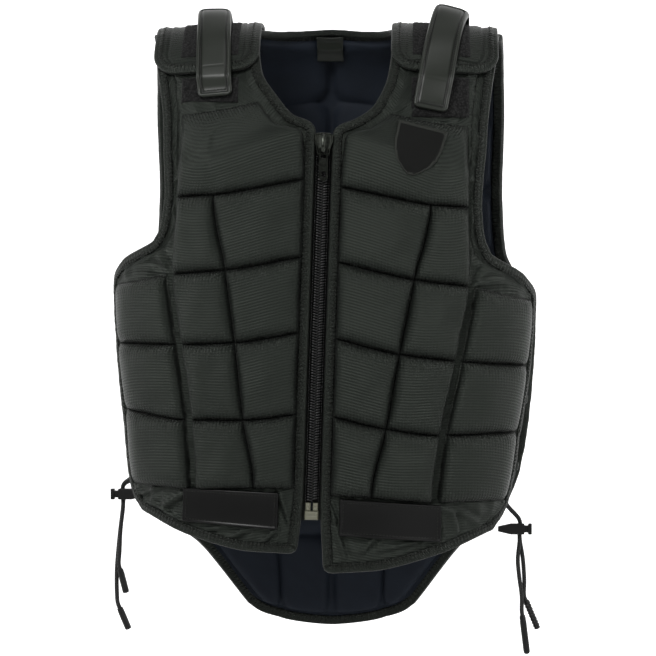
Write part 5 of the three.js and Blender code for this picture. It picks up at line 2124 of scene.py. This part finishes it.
@dataclass
class SideLacing:
    """One laced side: loops on both edges, the lace, the cord lock and the free ends below it."""

    finishes: Wardrobe
    side: Side
    lock_x: float
    lock_z: float
    turns: tuple[Pair, ...] = ()
    lock_y: float = -10
    lock_high: float = 5
    apart: float = 2.15
    radius: float = 2.0
    gap: float = 0.3
    through: float = 8
    cross: float = 2.6
    straight: float = 3
    tip_radius: float = 3.0
    tip_straight: float = 6
    tuck: float = 2.4

    def ends(self) -> None:
        """Makes the free cord ends with their moulded tips."""
        for end in CORD_ENDS[self.side]:
            y = self.lock_y + end.y_way * self.apart
            places = [np.array([x, y, z]) for x, z in end.route]
            tip = np.array([end.tip[0], y, end.tip[1]])
            start = np.array([self.lock_x, y, self.lock_z - self.lock_high - self.gap / 2])
            way = unit(tip - places[-1])
            route = catmull_rom([start, *places[:-1], places[-1] - way * self.tip_straight, places[-1]], 30)
            draft = Draft().ring(*tube(route, np.full(len(route), self.radius)))
            cord = draft.make(f"cord_{self.side.word}_{end.length}", [self.finishes.cord])
            settle(cord, "cord", f"cord_end_{self.side.word}_{end.length}")
            moulded = self._tip(end, places[-1], tip)
            float(along(route, 0)[-1]) * MM

    def _tip(self, end: CordEnd, start: Array, stop: Array) -> Piece:
        """Makes the moulded tip on a cord end.

        Args:
            end: The cord end.
            start: Where the tip begins.
            stop: Where it ends.

        Returns:
            The tip.
        """
        t = np.linspace(0, 1, 61)
        line = start + (stop - start) * (1.06 * t - 0.06)[:, None]
        shape = 0.86 + 0.14 * ease(t / 0.12) - 0.1 * ease((t - 0.85) / 0.15) ** 2
        shape = shape * np.sqrt(np.clip((1 - t) / 0.05, 0, 1)) ** 0.5 + 0.02
        if end.ridged:
            shape = shape * (1 - 0.14 * (np.sin(t * 2 * np.pi * 9) > 0.2) * (t > 0.12) * (t < 0.92))
        else:
            shape = shape * (1 - 0.07 * bell(t, 0.12, 0.03))
        draft = Draft().ring(*tube(line, shape * self.tip_radius, 16))
        piece = draft.make(f"moulded_tip_{self.side.word}_{end.length}", [self.finishes.plastic])
        return settle(piece, "plastic", f"cord_tip_{self.side.word}_{end.length}")

    def _loop_centres(self) -> dict[str, Array]:
        """Finds the middles of the loops.

        Returns:
            The middles on the front's and the back's edge, from the lowest up.
        """
        made = {}
        for face in ("front", "back"):
            boxes = [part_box(f"lace_loop_{face}_{self.side.word}_{k}") for k in (1, 2, 3)]
            made[face] = np.array([(np.array(low) + np.array(high)) / 2 / MM for low, high in boxes])
            made[face][:, 0] -= self.tuck * self.side.value
        return made

    def loops(self) -> None:
        """Makes the tape loops on both edges."""
        section = rounded_section(2.6, 3.9, 3.7)
        turn = np.linspace(0, 2 * np.pi, 28, endpoint=False)
        cloth = np.stack(np.broadcast_arrays(np.linspace(0, 12, 12)[None], (turn * 5)[:, None]), -1)
        for face, centres in self._loop_centres().items():
            draft = Draft()
            for centre, up in zip(centres, unit(np.gradient(centres, axis=0))):
                a = unit(np.cross(up, [0.2, 1.0, 0.1]))
                b = np.cross(up, a)
                out = np.cos(turn)[:, None] * a + np.sin(turn)[:, None] * b
                p, n = (np.broadcast_to(vector, out.shape) for vector in (centre, up))
                draft.ring(carried(p, n, out, section), cloth, closed=True)
            piece = draft.make(f"tape_loops_{face}_{self.side.word}", [self.finishes.tape])
            settle(piece, "tape", *(f"lace_loop_{face}_{self.side.word}_{k}" for k in (1, 2, 3)))

    def lace(self) -> None:
        """Makes the lace from the lock up through alternate loops, across, and down through the others."""
        centres = self._loop_centres()
        rise = {face: unit(np.gradient(points, axis=0)) for face, points in centres.items()}

        def thread(face: str, k: int, way: int) -> list[Array]:
            """Places below and above a loop, in the order of the way."""
            return [centres[face][k] + rise[face][k] * self.through * share for share in (-way, way)]

        def crossing(first: tuple[str, int], second: tuple[str, int], way: int) -> Array:
            """Place where two runs of the lace pass each other."""
            middle = (centres[first[0]][first[1]] + centres[second[0]][second[1]]) / 2
            return middle + np.array([way * self.cross * self.side.value, 0, 0])

        def at_lock(way: int, z: float) -> Array:
            """Place on one of the two strands at the lock."""
            return np.array([self.lock_x, self.lock_y + way * self.apart, self.lock_z + z])

        def bends(way: int) -> list[Array]:
            """Places where a strand bends behind the hem."""
            return [at_lock(2 * way, z) + np.array([x, 0, 0]) for x, z in self.turns]

        low, clear = self.gap / 2 - self.lock_high, self.lock_high + self.straight
        route = [
            at_lock(-1, low), at_lock(-1, clear), *bends(-1), *thread("front", 0, 1),
            crossing(("front", 0), ("back", 1), 1), *thread("back", 1, 1),
            crossing(("back", 1), ("front", 2), 1), *thread("front", 2, 1), *thread("back", 2, -1),
            crossing(("back", 2), ("front", 1), -1), *thread("front", 1, -1),
            crossing(("front", 1), ("back", 0), -1), *thread("back", 0, -1), *bends(1),
            at_lock(1, clear), at_lock(1, low),
        ]
        line = catmull_rom(np.array(route), 260)
        draft = Draft().ring(*tube(line, np.full(len(line), self.radius - 0.05)))
        piece = draft.make(f"braided_lace_{self.side.word}", [self.finishes.cord])
        settle(piece, "cord", f"side_lace_{self.side.word}")

    def lock(self) -> None:
        """Dresses the cord lock and its plunger."""
        dress_node(f"cord_lock_{self.side.word}", self.finishes.plastic, 0.7)
        dress_node(f"lock_plunger_{self.side.word}", self.finishes.plastic, 0.5)


# Studio


@dataclass
class Studio:
    """Pale floor that runs up into a backdrop, soft lights, and a camera with a long lens."""

    frame_pixels: int = 656
    pixel: float = 0.93
    centre_z: float = -271.8
    azimuth: float = 2.0
    distance: float = 5.0
    sensor: float = 36.0
    floor_z: float = -0.64
    surround: float = 0.12

    def build(self) -> None:
        """Makes the stage, the lights and the camera."""
        self._stage()
        self._lights()
        self._camera()

    def _stage(self) -> None:
        """Makes the floor with its rounded rise into a backdrop."""
        turn = np.linspace(0, np.pi / 2, 12)
        bend, back = 0.8, 6.4
        profile = [(-6.0, self.floor_z), (0.9, self.floor_z), (back, self.floor_z)]
        profile += [(back + bend * math.sin(a), self.floor_z + bend * (1 - math.cos(a))) for a in turn[1:]]
        profile.append((back + bend, 8.0))
        points = np.array([[(x, y, z) for x in (-9.0, 9.0)] for y, z in profile]) / MM
        draft = Draft()
        draft.quads(draft.add(points) + np.arange(len(profile) * 2).reshape(-1, 2))
        draft.slots[1:] = [1] * (len(draft.slots) - 1)
        finishes = []
        for name, glow in (("pale_floor", 0.0), ("lit_backdrop", 0.9)):
            board = NodeBoard(name)
            colour = board.mix(board.noise(board.space(), 3, 2), grey(0.8), grey(0.84))
            finishes.append(board.finish(
                Base_Color=colour, Roughness=0.9, Specular_IOR_Level=0.1, Emission_Color=grey(1),
                Emission_Strength=glow,
            ))
        draft.make("floor", finishes)

    def _lights(self) -> None:
        """Makes the soft lights and the pale surroundings."""
        world = bpy.data.worlds.new("studio")
        bpy.context.scene.world = world
        world.use_nodes = True
        background = world.node_tree.nodes["Background"]
        background.inputs["Color"].default_value = (1.0, 1.0, 1.0, 1.0)
        background.inputs["Strength"].default_value = self.surround
        middle = Vector((0, 0, self.centre_z * MM))
        table = (
            ("key", (-0.9, -2.2, 1.7), 1.0, 66.0),
            ("fill", (1.8, -2.5, 0.6), 1.2, 21.0),
            ("top", (0.1, -0.4, 2.3), 1.0, 9.0),
            ("rim_right", (-2.2, 0.1, 0.3), 0.9, 20.0),
            ("rim_left", (2.2, 0.1, 0.3), 0.9, 24.0),
        )
        for name, place, size, power in table:
            light = bpy.data.lights.new(name, "AREA")
            light.size, light.energy = size, power
            made = bpy.data.objects.new(name, light)
            made.location = place
            made.rotation_euler = (middle - Vector(place)).to_track_quat("-Z", "Y").to_euler()
            bpy.context.scene.collection.objects.link(made)

    def _camera(self) -> None:
        """Makes the camera at the viewing angle, so that a pixel of the frame is its size at the vest."""
        lens = bpy.data.cameras.new("camera")
        half = self.frame_pixels * self.pixel * MM / 2
        lens.sensor_width, lens.lens = self.sensor, self.sensor / 2 / (half / self.distance)
        lens.clip_end = 60
        camera = bpy.data.objects.new("camera", lens)
        turn = math.radians(self.azimuth)
        away = Vector((math.sin(turn), -math.cos(turn), 0))
        camera.location = away * self.distance + Vector((0, 0, self.centre_z * MM))
        camera.rotation_euler = (-away).to_track_quat("-Z", "Y").to_euler()
        bpy.context.scene.collection.objects.link(camera)
        bpy.context.scene.camera = camera


def main() -> None:
    """Builds the vest's looks, sub-assembly by sub-assembly."""
    logging.basicConfig(level=logging.INFO, format="%(name)s: %(message)s")
    bpy.context.scene.view_settings.view_transform = "Standard"
    Studio().build()
    finishes = Wardrobe()
    lacings = (
        SideLacing(finishes, Side.RIGHT, -190, -426),
        SideLacing(finishes, Side.LEFT, 178, -458, ((-13, 25),)),
    )
    for lacing in lacings:
        lacing.ends()

    fronts = {
        side: PaddedPanel(
            finishes, f"padded_front_{side.word}", Pattern(FRONT, FRONT_ROWS, FRONT_PADS, side.value),
            HEM_CREASES[side] + WING_CREASES, seed=7 + side.value,
        )
        for side in Side
    }
    whole = Pattern(BACK, BACK_ROWS, BACK_PADS, whole=True)
    maker = GridMaker((36, 36, 36), row_step=1.9)
    back = PaddedPanel(finishes, "padded_back", whole, seed=21, maker=maker)
    ClothPuff().run([*fronts.values(), back])
    for side, panel in fronts.items():
        panel.build(f"front_panel_{side.word}")
        panel.bind(f"edge_tape_{side.word}", f"front_binding_{side.word}")
    back.build("back_panel")
    back.bind("edge_tape_back", "back_binding")
    lining = Lining(back)
    lining.build()
    lining.tag()

    tabs = (
        ShoulderTab(finishes, Side.RIGHT, 104.5, 99, -62.5, -66, slack=10.5, tilt=0.04),
        ShoulderTab(finishes, Side.LEFT, 115, 95, -74.5, -80, tilt=-0.2),
    )
    for tab in tabs:
        tab.flap()
        tab.patches(fronts[tab.side])
        tab.strap()

    zipper = FrontZip(finishes)
    zipper.teeth()
    zipper.slider()
    zipper.box()
    zipper.dress()

    patches = SewnPatches(finishes)
    for side in Side:
        patches.label(side)
    patches.badge(fronts[Side.LEFT])

    for lacing in lacings:
        lacing.loops()
        lacing.lace()
        lacing.lock()


if __name__ == "__main__":
    main()
